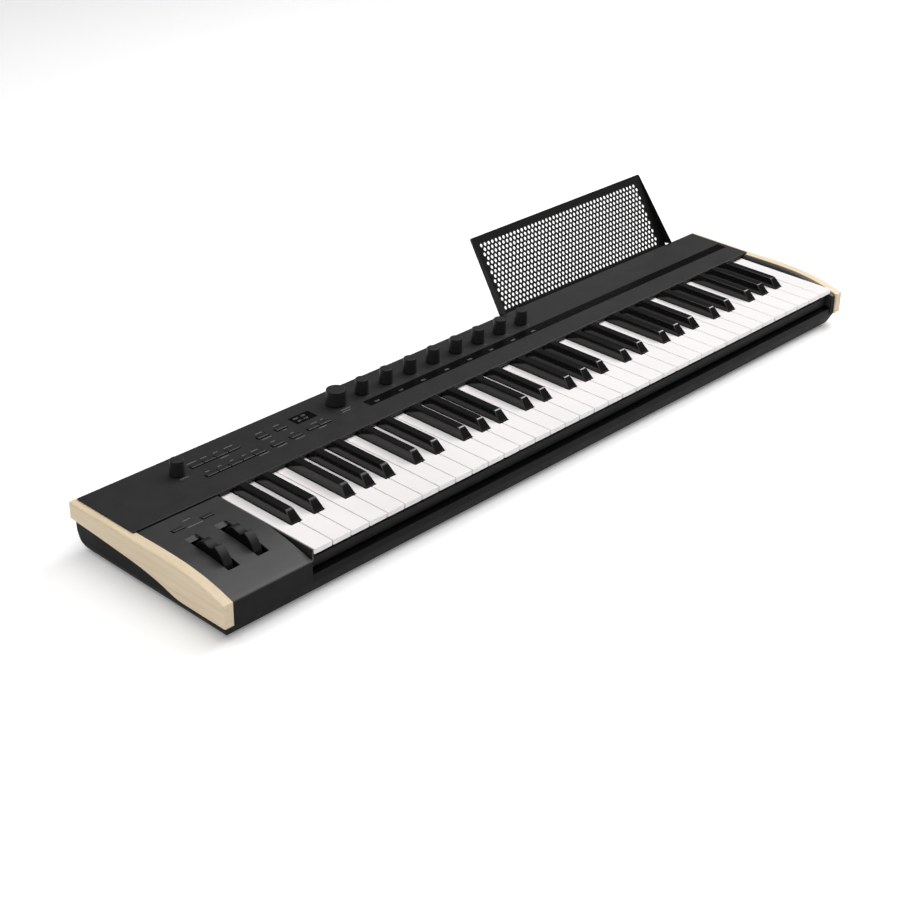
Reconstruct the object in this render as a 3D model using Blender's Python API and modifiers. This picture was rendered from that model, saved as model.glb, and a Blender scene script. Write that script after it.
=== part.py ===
# 61-key synthesizer with a lift-off music stand.
# Every dimension below is in millimetres in the key frame: X runs along the keyboard from the left
# edge of the lowest white key, Y runs from the front edge of the white keys to the back, and Z is
# measured up from the top of the white keys.  place() turns that into metres in the object frame.
import math

import bmesh
import bpy
from mathutils import Matrix, Vector

for old in list(bpy.data.objects):
    bpy.data.objects.remove(old, do_unlink=True)

# ---------------------------------------------------------------- driving dimensions
X_MID = 376.0            # middle of the case in the key frame
Y_MID = 134.79           # middle of the overall depth, stand included
Z_FLOOR = -50.0          # what the rubber feet stand on

KEY_PITCH = 23.5         # one white key and its gap
KEY_GAP = 1.0            # gap between two white keys
WHITES = 36
OCTAVE = 7 * KEY_PITCH
KEY_WIDTH = WHITES * KEY_PITCH
SHARP_CENTRES = (20.7, 49.8, 90.4, 117.5, 144.6)   # C#, D#, F#, G#, A# within an octave
SHARP_W_BASE = 12.6
SHARP_W_TOP = 9.2
SHARP_FRONT = 47.2
SHARP_TOP = 10.7
SLOT_W = 14.6            # opening left between the white keys for a sharp
WHITE_THICK = 2.2
LIP_DEPTH = 5.6

PIVOT_Y = 188.0          # all key levers turn about one line at the rear
PIVOT_Z = -5.0

PLATE_X0, PLATE_X1 = -104.0, 856.0
PLATE_Y0, PLATE_Y1 = 132.0, 219.0
PLATE_TOP = 5.8
PLATE_THICK = 1.6

CHEEK_T = 12.0
CASE_X0, CASE_X1 = -112.5, 864.5
CHEEK_IN0 = CASE_X0 + CHEEK_T
CHEEK_IN1 = CASE_X1 - CHEEK_T
CHEEK_ROUND = 2.4
BASE_Z = -46.4
LEDGE_Z = -25.8          # top of the low front wall under the keys
STRIP_Z = -34.3          # the front wall turns under below this height
GAP = 0.3                # between pieces that touch in the real thing

KNOB_Y = 189.0
SMALL_KNOBS_X = tuple(240.4 + 36.0 * i for i in range(8))
BIG_KNOB_X, BIG_KNOB_Y = 204.2, 190.0
VOLUME_X, VOLUME_Y = -8.3, 187.8
KNOB_TOP = 23.0

BOARD_Z0, BOARD_Z1 = -1.4, 0.2

# button name, centre x, centre y
ROW_UPPER_Y, ROW_LOWER_Y = 189.2, 165.8
PANEL_BUTTONS = (
    [("button_a%d" % (i + 1), 16.9 + 15.5 * i, ROW_UPPER_Y, 15.0) for i in range(4)]
    + [("button_b%d" % (i + 1), 17.0 + 15.2 * i, ROW_LOWER_Y, 14.7) for i in range(5)]
    + [("button_c1", 102.0, 189.4, 14.4), ("button_c2", 126.4, 189.4, 14.4)]
    + [("button_d1", 102.0, 166.6, 14.4), ("button_d2", 126.6, 166.6, 14.4)]
    + [("button_e1", 151.0, 167.4, 14.9), ("button_e2", 166.4, 167.4, 14.9)])
BUTTON_DEPTH = 6.0
BUTTON_BOTTOM = 1.5
BLOCK_BUTTONS = (("button_f1", -70.0, 109.6, 14.0), ("button_f2", -35.3, 109.6, 14.0))

DISPLAY = (144.4, 172.2, 183.2, 199.4)
STRIP = (227.0, 850.0, 160.4, 173.4)

WHEEL_Y, WHEEL_Z, WHEEL_R = 57.0, -6.5, 22.4
WHEEL_W = 10.0           # the wheel stands left of the middle of its slot
WHEELS = (("pitch_wheel", -69.9), ("modulation_wheel", -35.1))
SLOT_Y0, SLOT_Y1 = 29.4, 85.6
RAMP_END = 92.6
WHEEL_SLOT_W = 14.0
WHEEL_SHIFT = -1.6

STAND_X0, STAND_X1 = 495.0, 806.0
STAND_TILT = math.radians(32.0)
STAND_LEN = 96.0
STAND_T = 1.2
STAND_Y, STAND_Z = 223.0, 2.4

# cheek outline, seen from the side: (y, z) along the top from the front, then the bottom
CHEEK_TOP = ((-4.8, -8.2), (5.0, -5.3), (15.0, -2.6), (30.0, 0.4), (45.0, 2.4), (60.0, 3.7),
             (80.0, 4.3), (100.0, 4.3), (128.0, 3.9), (222.0, 3.7))
CHEEK_BOTTOM = ((222.0, -14.6), (190.0, -16.2), (161.0, -18.0), (121.0, -21.0), (97.0, -24.2),
                (80.0, -27.8), (66.0, -31.4), (60.0, -32.4), (52.0, -32.8), (-4.8, -32.8))
# upper face of the wheel block and of the narrow block at the treble end, from the front
BLOCK_TOP = ((-3.0, -10.6), (-2.3, -9.4), (-0.6, -8.8), (6.0, -7.0), (15.0, -4.8), (30.0, -1.5),
             (45.0, 1.0), (60.0, 2.7), (80.0, 3.7), (100.0, 3.9), (131.3, 3.9))


# ---------------------------------------------------------------- helpers
def place(x, y, z):
    """Key frame millimetres to object frame metres."""
    return Vector(((x - X_MID) / 1000.0, (y - Y_MID) / 1000.0, (z - Z_FLOOR) / 1000.0))


parts = bpy.data.collections.new("synthesizer")
helpers = bpy.data.collections.new("cutters")
bpy.context.scene.collection.children.link(parts)
bpy.context.scene.collection.children.link(helpers)

MATERIALS = {}


def material(name, colour, rough=0.5, metal=0.0):
    if name not in MATERIALS:
        mat = bpy.data.materials.new(name)
        mat.use_nodes = True
        shader = mat.node_tree.nodes["Principled BSDF"]
        shader.inputs["Base Color"].default_value = (colour[0], colour[1], colour[2], 1.0)
        shader.inputs["Roughness"].default_value = rough
        shader.inputs["Metallic"].default_value = metal
        MATERIALS[name] = mat
    return MATERIALS[name]


def add_object(name, mesh, mat=None, helper=False):
    obj = bpy.data.objects.new(name, mesh)
    (helpers if helper else parts).objects.link(obj)
    if mat is not None:
        mesh.materials.append(mat)
    if helper:
        obj.hide_render = True
        obj.display_type = "WIRE"
    return obj


def box(x0, x1, y0, y1, z0, z1):
    """A shape for solid(): a block between two corners."""
    def add(bm):
        middle = place((x0 + x1) / 2, (y0 + y1) / 2, (z0 + z1) / 2)
        size = Vector((x1 - x0, y1 - y0, z1 - z0)) / 1000.0
        stretch = Matrix.Diagonal((*size, 1.0))
        bmesh.ops.create_cube(bm, size=1.0, matrix=Matrix.Translation(middle) @ stretch)
    return add


AXIS_TURN = {"X": Matrix.Rotation(math.radians(90.0), 4, "Y"),
             "Y": Matrix.Rotation(math.radians(-90.0), 4, "X"),
             "Z": Matrix.Identity(4)}


def point(axis, a, b, along):
    """A corner of an outline: axis X reads (y, z), axis Y reads (x, z), axis Z reads (x, y)."""
    if axis == "X":
        return place(along, a, b)
    if axis == "Y":
        return place(a, along, b)
    return place(a, b, along)


def rod(axis, a, b, radius, low, high, steps=16):
    """A shape for solid(): a round bar along an axis."""
    def add(bm):
        middle = Matrix.Translation(point(axis, a, b, (low + high) / 2))
        bmesh.ops.create_cone(bm, cap_ends=True, segments=steps, radius1=radius / 1000.0,
                              radius2=radius / 1000.0, depth=(high - low) / 1000.0,
                              matrix=middle @ AXIS_TURN[axis])
    return add


def profile(axis, outline, low, high):
    """A shape for solid(): a closed outline drawn across an axis and extruded along it."""
    def add(bm):
        face = bm.faces.new([bm.verts.new(point(axis, a, b, low)) for a, b in outline])
        new = bmesh.ops.extrude_face_region(bm, geom=[face])["geom"]
        moved = [item for item in new if isinstance(item, bmesh.types.BMVert)]
        step = point(axis, 0.0, 0.0, high) - point(axis, 0.0, 0.0, low)
        bmesh.ops.translate(bm, verts=moved, vec=step)
    return add


def solid(name, shapes, mat=None, helper=False):
    """One object from shapes that stay clear of each other."""
    bm = bmesh.new()
    for add in shapes:
        add(bm)
    bmesh.ops.recalc_face_normals(bm, faces=bm.faces[:])
    mesh = bpy.data.meshes.new(name)
    bm.to_mesh(mesh)
    bm.free()
    return add_object(name, mesh, mat, helper)


def turned(name, cx, cy, outline, steps, mat):
    """A turned piece about a vertical line: (radius, z) from its top centre to its bottom centre."""
    bm = bmesh.new()
    origin = place(cx, cy, PLATE_TOP)
    verts = [bm.verts.new(place(cx + radius, cy, z) - origin) for radius, z in outline]
    for upper, lower in zip(verts, verts[1:]):
        bm.edges.new((upper, lower))
    mesh = bpy.data.meshes.new(name)
    bm.to_mesh(mesh)
    bm.free()
    obj = add_object(name, mesh, mat)
    obj.location = origin
    screw = obj.modifiers.new("turn", "SCREW")
    screw.steps = steps
    screw.render_steps = steps
    screw.use_merge_vertices = True
    screw.merge_threshold = 0.00001
    return obj


def combine(obj, tool, operation):
    mod = obj.modifiers.new(operation.lower() + "_" + tool.name, "BOOLEAN")
    mod.operation = operation
    mod.solver = "EXACT"
    mod.object = tool


def cut(obj, name, shapes):
    combine(obj, solid(name, shapes, helper=True), "DIFFERENCE")


def join(obj, name, shapes):
    combine(obj, solid(name, shapes, helper=True), "UNION")


def set_origin(obj, x, y, z):
    """Move the object's origin onto its joint axis."""
    where = place(x, y, z)
    obj.data.transform(Matrix.Translation(-where))
    obj.location = where


def height_at(curve, y):
    """Height of a front-to-back curve at y."""
    for (y0, z0), (y1, z1) in zip(curve, curve[1:]):
        if y0 <= y <= y1:
            return z0 + (z1 - z0) * (y - y0) / (y1 - y0)
    return curve[0][1] if y < curve[0][0] else curve[-1][1]


# ---------------------------------------------------------------- materials
BLACK_BASE = material("base_plastic", (0.018, 0.018, 0.020), 0.55)
CHARCOAL = material("charcoal_panel", (0.045, 0.042, 0.043), 0.45)
BLOCK_GREY = material("charcoal_plastic", (0.050, 0.048, 0.049), 0.5)
WOOD = material("pale_wood", (0.72, 0.62, 0.47), 0.5)
IVORY = material("white_key", (0.86, 0.84, 0.83), 0.25)
EBONY = material("black_key", (0.008, 0.008, 0.009), 0.12)
KNOB_GREY = material("knob_plastic", (0.035, 0.034, 0.035), 0.55)
BUTTON_GREY = material("button_rubber", (0.040, 0.038, 0.039), 0.6)
WINDOW = material("window_gloss", (0.006, 0.006, 0.007), 0.06)
STEEL_BLACK = material("black_sheet_metal", (0.020, 0.020, 0.021), 0.5, 0.4)
BOARD_GREEN = material("circuit_board", (0.02, 0.12, 0.05), 0.5)
RUBBER = material("rubber", (0.015, 0.015, 0.015), 0.8)
CHASSIS = material("chassis_plastic", (0.012, 0.012, 0.013), 0.6)
SOCKET = material("socket_plastic", (0.010, 0.010, 0.010), 0.35)

# ---------------------------------------------------------------- base tray
base_side = [(5.0, BASE_Z), (2.7, -45.8), (-1.2, STRIP_Z), (-1.2, LEDGE_Z), (0.2, LEDGE_Z)]
base_side += [(y, z - 3.0) for y, z in BLOCK_TOP if y > 0.2]
base_side += [(134.0, 0.9), (134.0, 3.6), (220.4, 3.6), (220.6, -14.0), (219.4, -28.0), (216.8, -35.0),
              (213.0, -39.6), (206.0, -43.8), (196.0, BASE_Z)]
end_shape = [(-101.5, BASE_Z), (-104.4, -45.2), (-106.4, -42.2), (-107.0, -39.0), (-107.0, 20.0),
             (859.0, 20.0), (859.0, -30.0), (856.6, -34.4), (848.6, -44.6), (845.6, BASE_Z)]
base_tray = solid("base_tray", [profile("X", base_side, -120.0, 872.0)], BLACK_BASE)
tray_ends = solid("tray_end_shape", [profile("Y", end_shape, -20.0, 240.0)], helper=True)
combine(base_tray, tray_ends, "INTERSECT")
INNER0, INNER1 = -97.6, 849.8
hollow_side = [(5.8, -43.8), (3.4, -38.0), (1.4, -33.6), (1.4, 30.0), (217.8, 30.0), (218.0, -14.0),
               (216.8, -27.4), (214.4, -33.6), (211.2, -37.4), (205.0, -41.2), (195.6, -43.8)]
hollow_end = [(-94.5, -43.8), (INNER0, -40.6), (INNER0, 40.0), (INNER1, 40.0), (INNER1, -36.4),
              (844.2, -43.8)]
tray_hollow = solid("tray_hollow", [profile("X", hollow_side, -118.0, 870.0)], helper=True)
hollow_ends = solid("tray_hollow_ends", [profile("Y", hollow_end, -18.0, 238.0)], helper=True)
combine(tray_hollow, hollow_ends, "INTERSECT")
combine(base_tray, tray_hollow, "DIFFERENCE")
# room for the wooden cheeks above the side flanks, and the low front wall under the keys
cheek_room = [(y, z - GAP) for y, z in CHEEK_BOTTOM]
cheek_room[0] = (240.0, cheek_room[0][1] + 0.7)
cheek_room[-1] = (-20.0, cheek_room[-1][1])
cheek_room = cheek_room + [(-20.0, 30.0), (240.0, 30.0)]
cut(base_tray, "cheek_rooms", [profile("X", cheek_room, -130.0, CHEEK_IN0 + GAP),
                               profile("X", cheek_room, CHEEK_IN1 - GAP, 880.0)])
cut(base_tray, "key_opening", [box(INNER0 - 0.05, INNER1 + 0.05, -30.0, 12.0, LEDGE_Z, 40.0)])
join(base_tray, "key_ledge", [box(INNER0 - 0.5, INNER1 + 0.5, 0.8, 12.0, -28.6, LEDGE_Z)])
JACK_X0, JACK_X1 = 596.0, 746.0
cut(base_tray, "jack_opening", [box(JACK_X0, JACK_X1, 214.0, 230.0, -25.0, -7.0)])
RIBS_X = tuple(OCTAVE * (i + 0.5) for i in range(5))
tray_adds = [box(x - 1.5, x + 1.5, 8.0, 140.0, -44.0, -24.3) for x in RIBS_X]
tray_adds += [box(x - 3.0, x + 3.0, 199.2, 205.2, -44.0, -25.3) for x in (606.0, 703.0)]
tray_adds += [box(x - 2.0, x + 2.0, 188.0, 204.0, -44.0, -24.3) for x in (60.0, 250.0, 440.0, 800.0)]
join(base_tray, "tray_ribs", tray_adds)

# ---------------------------------------------------------------- cheeks
def cheek(name, inner, outer):
    """A wooden board with the edges of its outer face rounded over."""
    board = solid(name, [profile("X", list(CHEEK_TOP) + list(CHEEK_BOTTOM), inner, outer)], WOOD)
    outer_x = place(outer, 0.0, 0.0).x
    weight = board.data.attributes.new("bevel_weight_edge", "FLOAT", "EDGE")
    for edge in board.data.edges:
        ends = [board.data.vertices[i].co.x for i in edge.vertices]
        if all(abs(x - outer_x) < 1e-5 for x in ends):
            weight.data[edge.index].value = 1.0
    round_over = board.modifiers.new("round_over", "BEVEL")
    round_over.limit_method = "WEIGHT"
    round_over.width = CHEEK_ROUND / 1000.0
    round_over.segments = 2


cheek("left_cheek", CHEEK_IN0, CASE_X0)
cheek("right_cheek", CHEEK_IN1, CASE_X1)

# ---------------------------------------------------------------- top plate
top_plate = solid("top_plate", [box(PLATE_X0, PLATE_X1, PLATE_Y0, PLATE_Y1,
                                    PLATE_TOP - PLATE_THICK, PLATE_TOP)], CHARCOAL)
join(top_plate, "plate_flange", [box(-1.2, KEY_WIDTH + 1.0, 131.7, 133.2, 2.4, PLATE_TOP - 0.5)])
sharps = [OCTAVE * o + c for o in range(5) for c in SHARP_CENTRES]
openings = [box(x - SLOT_W / 2, x + SLOT_W / 2, 128.0, 135.0, -2.0, PLATE_TOP - PLATE_THICK)
            for x in sharps]
openings += [rod("Z", x, KNOB_Y, 4.0, -2.0, 10.0) for x in SMALL_KNOBS_X]
openings += [rod("Z", BIG_KNOB_X, BIG_KNOB_Y, 5.0, -2.0, 10.0),
             rod("Z", VOLUME_X, VOLUME_Y, 4.0, -2.0, 10.0)]
half = BUTTON_DEPTH / 2 + GAP
openings += [box(9.1, 71.2, ROW_UPPER_Y - half, ROW_UPPER_Y + half, -2.0, 10.0),
             box(9.35, 85.45, ROW_LOWER_Y - half, ROW_LOWER_Y + half, -2.0, 10.0),
             box(143.25, 174.15, 167.4 - half, 167.4 + half, -2.0, 10.0)]
openings += [box(x - 7.5, x + 7.5, y - half, y + half, -2.0, 10.0)
             for n, x, y, w in PANEL_BUTTONS if n[7] in "cd"]
for x0, x1, y0, y1 in (DISPLAY, STRIP):
    openings.append(box(x0, x1, y0, y1, -2.0, 10.0))
cut(top_plate, "plate_openings", openings)

solid("display_window", [box(DISPLAY[0] + GAP, DISPLAY[1] - GAP, DISPLAY[2] + GAP, DISPLAY[3] - GAP,
                             4.4, PLATE_TOP - 0.15)], WINDOW)
solid("strip_window", [box(STRIP[0] + GAP, STRIP[1] - GAP, STRIP[2] + GAP, STRIP[3] - GAP,
                           4.4, PLATE_TOP - 0.15)], WINDOW)

# ---------------------------------------------------------------- wheel block and treble end block
# an apron hangs from its front wall over the front of the base
APRON_Z = -32.6
block_side = list(BLOCK_TOP) + [(131.3, -20.0), (16.0, LEDGE_Z + GAP), (-1.5, LEDGE_Z + GAP),
                                (-1.5, APRON_Z), (-3.0, APRON_Z)]
BLOCK_X0, BLOCK_X1 = CHEEK_IN0 + GAP, -4.6
wheel_block = solid("wheel_block", [profile("X", block_side, BLOCK_X0, BLOCK_X1)], BLOCK_GREY)
under = [(-0.6, -40.0)] + [(y, z - 2.4) for y, z in BLOCK_TOP if y > -1.0]
under[1] = (-0.6, under[1][1])
under = under[:-1] + [(140.0, 1.5), (140.0, -40.0)]
cut(wheel_block, "block_hollow", [profile("X", under, BLOCK_X0 - 5.0, BLOCK_X1 - 2.0)])
wheel_slots = []
for name, cx in WHEELS:
    wheel_slots.append(box(cx - WHEEL_SLOT_W / 2, cx + WHEEL_SLOT_W / 2, SLOT_Y0, SLOT_Y1, -15.0, 20.0))
for name, cx, cy, w in BLOCK_BUTTONS:
    wheel_slots.append(box(cx - w / 2 - GAP, cx + w / 2 + GAP, cy - 2.7 - GAP, cy + 2.7 + GAP,
                           -15.0, 20.0))
cut(wheel_block, "block_openings", wheel_slots)
ramp = [(SLOT_Y1 - 0.4, 1.9), (RAMP_END, 3.6), (RAMP_END, 8.0), (SLOT_Y1 - 0.4, 8.0)]
cut(wheel_block, "slot_ramps", [profile("X", ramp, cx - WHEEL_SLOT_W / 2, cx + WHEEL_SLOT_W / 2)
                                for name, cx in WHEELS])
# a low guard between the block and the lowest key
guard = [(-5.2, -13.0), (0.1, -13.0), (0.1, -0.6), (-1.2, -0.6), (-1.2, -11.2), (-5.2, -11.2)]
join(wheel_block, "key_guard", [profile("Y", guard, 1.0, 131.0)])

END_X0, END_X1 = KEY_WIDTH + 1.4, CHEEK_IN1 - GAP
end_block = solid("right_end_block", [profile("X", block_side, END_X0, END_X1)], BLOCK_GREY)
cut(end_block, "end_block_hollow", [profile("X", under, END_X0 + 2.1, END_X1 + 5.0)])

# ---------------------------------------------------------------- wheels and their bracket
lugs = []
LUG_NEAR, LUG_FAR = 7.8, 10.8
for name, cx in WHEELS:
    for low, high in ((cx - LUG_FAR, cx - LUG_NEAR), (cx + LUG_NEAR, cx + LUG_FAR)):
        lugs.append(box(low, high, 51.5, 62.5, -42.5, -1.8))
x_low, x_high = WHEELS[0][1] - LUG_FAR - 1.0, WHEELS[1][1] + LUG_FAR + 1.0
wheel_bracket = solid("wheel_bracket", [box(x_low, x_high, 43.0, 67.0, -43.5, -41.3)], CHASSIS)
join(wheel_bracket, "bracket_lugs", lugs)
cut(wheel_bracket, "bracket_bores", [rod("X", WHEEL_Y, WHEEL_Z, 2.9, x_low - 1.0, x_high + 1.0)])

# depth of the thumb notch, at each step from the front of the top to the back
NOTCH = {-24: 0.6, -18: 1.5, -12: 3.6, -6: 4.6, 0: 4.8, 6: 4.4, 12: 3.2, 18: 1.9, 24: 0.9, 30: 0.3}
for name, cx in WHEELS:
    middle = cx + WHEEL_SHIFT
    rim = []
    for degrees in range(-180, 180, 6):
        a = math.radians(degrees)
        r = WHEEL_R - NOTCH.get(degrees, 0.0)
        rim.append((WHEEL_Y + r * math.sin(a), WHEEL_Z + r * math.cos(a)))
    wheel = solid(name, [profile("X", rim, middle - WHEEL_W / 2, middle + WHEEL_W / 2)], KNOB_GREY)
    pin = solid(name + "_pin", [rod("X", WHEEL_Y, WHEEL_Z, 2.3, cx - LUG_FAR + 0.4, cx + LUG_FAR - 0.4,
                                    12)], helper=True)
    set_origin(wheel, cx, WHEEL_Y, WHEEL_Z)
    combine(wheel, pin, "UNION")

# ---------------------------------------------------------------- keyboard chassis and contacts
chassis = solid("keybed_chassis", [box(1.0, KEY_WIDTH - 1.0, 6.0, 197.8, -24.0, -21.5)], CHASSIS)
join(chassis, "chassis_rails", [box(1.0, KEY_WIDTH - 1.0, 6.0, 9.0, -22.0, -12.8),
                                box(1.0, KEY_WIDTH - 1.0, 184.0, 193.0, -22.0, -9.6),
                                box(1.0, KEY_WIDTH - 1.0, 40.0, 42.5, -22.0, -18.0)])
# contact board with its rubber dome strip, in one outline
contact_side = [(62.0, -21.2), (112.0, -21.2), (112.0, -19.6), (102.0, -19.6), (99.0, -14.4),
                (94.0, -13.4), (78.0, -13.4), (73.0, -14.4), (70.0, -19.6), (62.0, -19.6)]
solid("contact_board", [profile("X", contact_side, 3.0, KEY_WIDTH - 3.0)], BOARD_GREEN)


# ---------------------------------------------------------------- keys: two combs per octave
def natural_edges(index, last):
    """Left and right edges of a white key's narrow part, between the sharps beside it."""
    left, right = index * KEY_PITCH, (index + 1) * KEY_PITCH
    narrow = [left + KEY_GAP / 2, right - KEY_GAP / 2]
    if not last:
        for c in SHARP_CENTRES:
            if left - 12.0 < c < left + 10.0:
                narrow[0] = max(narrow[0], c + SLOT_W / 2)
            if right - 10.0 < c < right + 12.0:
                narrow[1] = min(narrow[1], c - SLOT_W / 2)
    return narrow


# side view of a white key: lip, deck, step down behind the panel, lever
HEAD_Y1 = 46.2
head_side = [(0.0, -LIP_DEPTH), (0.25, -0.45), (0.7, 0.0), (HEAD_Y1, 0.0), (HEAD_Y1, -WHITE_THICK),
             (1.8, -WHITE_THICK), (1.5, -LIP_DEPTH)]
tail_side = [(1.4, -0.3), (1.6, 0.0), (137.0, 0.0), (140.5, -5.3), (178.0, -5.3), (178.0, -8.8),
             (138.5, -8.8), (134.5, -WHITE_THICK), (1.4, -WHITE_THICK)]
for octave in range(5):
    start = OCTAVE * octave
    indices = range(8) if octave == 4 else range(7)
    naturals = solid("naturals_%d" % (octave + 1),
                     [profile("X", head_side, start + i * KEY_PITCH + KEY_GAP / 2,
                       start + (i + 1) * KEY_PITCH - KEY_GAP / 2) for i in indices], IVORY)
    tails = []
    for i in indices:
        a, b = natural_edges(i, i == 7)
        tails.append(profile("X", tail_side, start + a + 0.03, start + b - 0.03))
    rail_end = start + (8 if octave == 4 else 7) * KEY_PITCH
    set_origin(naturals, start + OCTAVE / 2, PIVOT_Y, PIVOT_Z)
    join(naturals, "natural_tails_%d" % (octave + 1), tails)
    join(naturals, "natural_rail_%d" % (octave + 1),
         [box(start + 0.75, rail_end - 0.75, 176.0, 195.0, -8.8, -5.3)])

# a sharp is lofted from front to back: its foot keeps its width and its top narrows
SHARP_TOP_LINE = ((SHARP_FRONT, 0.6), (SHARP_FRONT + 1.6, 1.8), (SHARP_FRONT + 5.2, 5.8),
                  (SHARP_FRONT + 8.4, 9.2), (SHARP_FRONT + 10.8, SHARP_TOP), (124.0, SHARP_TOP),
                  (126.3, 9.6), (131.0, 3.6))
SHARP_UNDER = -5.0
SHARP_LEVER = ((128.0, 3.4), (136.5, 3.4), (140.0, -2.2), (178.0, -2.2), (178.0, -4.5), (137.0, -4.5),
               (133.0, -4.9), (128.0, -4.9))


def add_sharp(bm, centre):
    foot = SHARP_W_BASE / 2
    rows = []
    for y, z in SHARP_TOP_LINE:
        top = foot + (SHARP_W_TOP - SHARP_W_BASE) / 2 * z / SHARP_TOP
        rows.append([bm.verts.new(place(centre + x, y, height))
                     for x, height in ((-foot, SHARP_UNDER), (foot, SHARP_UNDER), (top, z), (-top, z))])
    bm.faces.new(rows[0])
    bm.faces.new(rows[-1])
    for near, far in zip(rows, rows[1:]):
        for i in range(4):
            j = (i + 1) % 4
            bm.faces.new((near[i], near[j], far[j], far[i]))


for octave in range(5):
    start = OCTAVE * octave
    name = "sharps_%d" % (octave + 1)
    sharp_comb = solid(name, [lambda bm, x=start + c: add_sharp(bm, x) for c in SHARP_CENTRES], EBONY)
    set_origin(sharp_comb, start + OCTAVE / 2, PIVOT_Y, PIVOT_Z)
    join(sharp_comb, "sharp_levers_%d" % (octave + 1),
         [profile("X", SHARP_LEVER, start + c - 5.0, start + c + 5.0) for c in SHARP_CENTRES])
    join(sharp_comb, "sharp_rail_%d" % (octave + 1),
         [box(start + 3.0, start + OCTAVE - 3.0, 176.0, 194.0, -4.5, -2.2)])

# ---------------------------------------------------------------- panel electronics
panel_board = solid("panel_board", [box(-22.0, KEY_WIDTH - 2.0, 150.0, 212.0, BOARD_Z0, BOARD_Z1)],
                    BOARD_GREEN)
encoders = [(x, KNOB_Y, 6.0) for x in SMALL_KNOBS_X]
encoders += [(BIG_KNOB_X, BIG_KNOB_Y, 6.5), (VOLUME_X, VOLUME_Y, 6.0)]
SUNK = BOARD_Z1 - 0.2    # parts start just inside the board, so that they join it
board_parts = [box(x - r, x + r, y - r, y + r, SUNK, 3.0) for x, y, r in encoders]
for x0, x1, y0, y1 in (DISPLAY, (STRIP[0], KEY_WIDTH - 3.0, STRIP[2], STRIP[3])):
    board_parts.append(box(x0 + 1.0, x1 - 1.0, y0 + 1.0, y1 - 1.0, SUNK, 3.9))
join(panel_board, "board_parts", board_parts)


# ---------------------------------------------------------------- knobs
def knob(name, cx, cy, radius, steps):
    outline = ((0.0, KNOB_TOP), (radius - 1.5, KNOB_TOP), (radius - 0.8, KNOB_TOP - 0.7), (radius, 7.6),
               (radius, 6.4), (2.9, 6.4), (2.9, 3.3), (0.0, 3.3))
    turned(name, cx, cy, outline, steps, KNOB_GREY)


knob("volume_knob", VOLUME_X, VOLUME_Y, 7.7, 20)
knob("value_knob", BIG_KNOB_X, BIG_KNOB_Y, 11.2, 24)
for i, x in enumerate(SMALL_KNOBS_X):
    knob("knob_%d" % (i + 1), x, KNOB_Y, 7.6, 20)

# ---------------------------------------------------------------- buttons
for name, cx, cy, width in PANEL_BUTTONS:
    side = [(cy - 3.0, BUTTON_BOTTOM), (cy + 3.0, BUTTON_BOTTOM), (cy + 3.0, 6.0), (cy + 2.6, 6.2),
            (cy - 2.2, 7.1), (cy - 3.0, 6.7)]
    button = solid(name, [profile("X", side, cx - width / 2, cx + width / 2)], BUTTON_GREY)
    set_origin(button, cx, cy, PLATE_TOP)
for name, cx, cy, width in BLOCK_BUTTONS:
    top = height_at(BLOCK_TOP, cy)
    side = [(cy - 2.7, top - 5.5), (cy + 2.7, top - 5.5), (cy + 2.7, top + 0.3), (cy + 2.3, top + 0.5),
            (cy - 1.9, top + 1.4), (cy - 2.7, top + 1.0)]
    button = solid(name, [profile("X", side, cx - width / 2, cx + width / 2)], BUTTON_GREY)
    set_origin(button, cx, cy, top)

# ---------------------------------------------------------------- rear sockets and power switch
JACKS_X = (626.0, 648.0, 670.0)          # headphones and two pedals
JACK_Z = -15.6
# the panel carries the port shroud for the data lead
jack_panel = solid("jack_panel", [box(JACK_X0 - 3.0, JACK_X1 + 3.0, 213.4, 216.0, -27.0, -5.0)], SOCKET)
panel_holes = [rod("Y", x, JACK_Z, 5.3, 210.0, 222.0) for x in JACKS_X]
panel_holes += [box(716.0, 728.0, 210.0, 222.0, -22.0, -10.0)]
cut(jack_panel, "panel_holes", panel_holes)
join(jack_panel, "port_shroud", [box(687.6, 698.4, 205.0, 218.2, -18.4, -13.6)])
cut(jack_panel, "port_mouth", [box(688.5, 697.5, 208.0, 222.0, -17.6, -14.4)])
# main circuit board with its three phone sockets
main_board = solid("main_board", [box(600.0, 709.0, 198.6, 213.0, -25.0, -23.4)], BOARD_GREEN)
join(main_board, "socket_bodies", [box(x - 7.0, x + 7.0, 200.2, 213.0, -23.6, JACK_Z + 6.5)
                                   for x in JACKS_X])
join(main_board, "socket_noses", [rod("Y", x, JACK_Z, 5.0, 212.0, 219.4) for x in JACKS_X])
cut(main_board, "socket_bores", [rod("Y", x, JACK_Z, 3.3, 203.0, 222.0) for x in JACKS_X])
power = solid("power_button", [box(716.4, 727.6, 208.0, 219.8, -21.6, -10.4)], BUTTON_GREY)
join(power, "power_stop", [box(713.4, 730.6, 210.8, 213.0, -23.6, -8.4)])
set_origin(power, 722.0, 219.8, -16.0)

# ---------------------------------------------------------------- feet
for name, x, y in (("foot_1", -70.0, 22.0), ("foot_2", 822.0, 22.0),
                   ("foot_3", -70.0, 186.0), ("foot_4", 822.0, 186.0)):
    turned(name, x, y, ((0.0, BASE_Z - GAP), (8.0, BASE_Z - GAP), (8.0, Z_FLOOR + 1.0), (7.2, Z_FLOOR),
                        (0.0, Z_FLOOR)), 24, RUBBER)

# ---------------------------------------------------------------- music stand and its holder
sin_t, cos_t = math.sin(STAND_TILT), math.cos(STAND_TILT)
h = STAND_T / 2


def stand_point(s, off):
    """A place on the leaning sheet: s up the sheet, off towards the player."""
    return (STAND_Y + s * sin_t - off * cos_t, STAND_Z + s * cos_t + off * sin_t)


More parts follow.
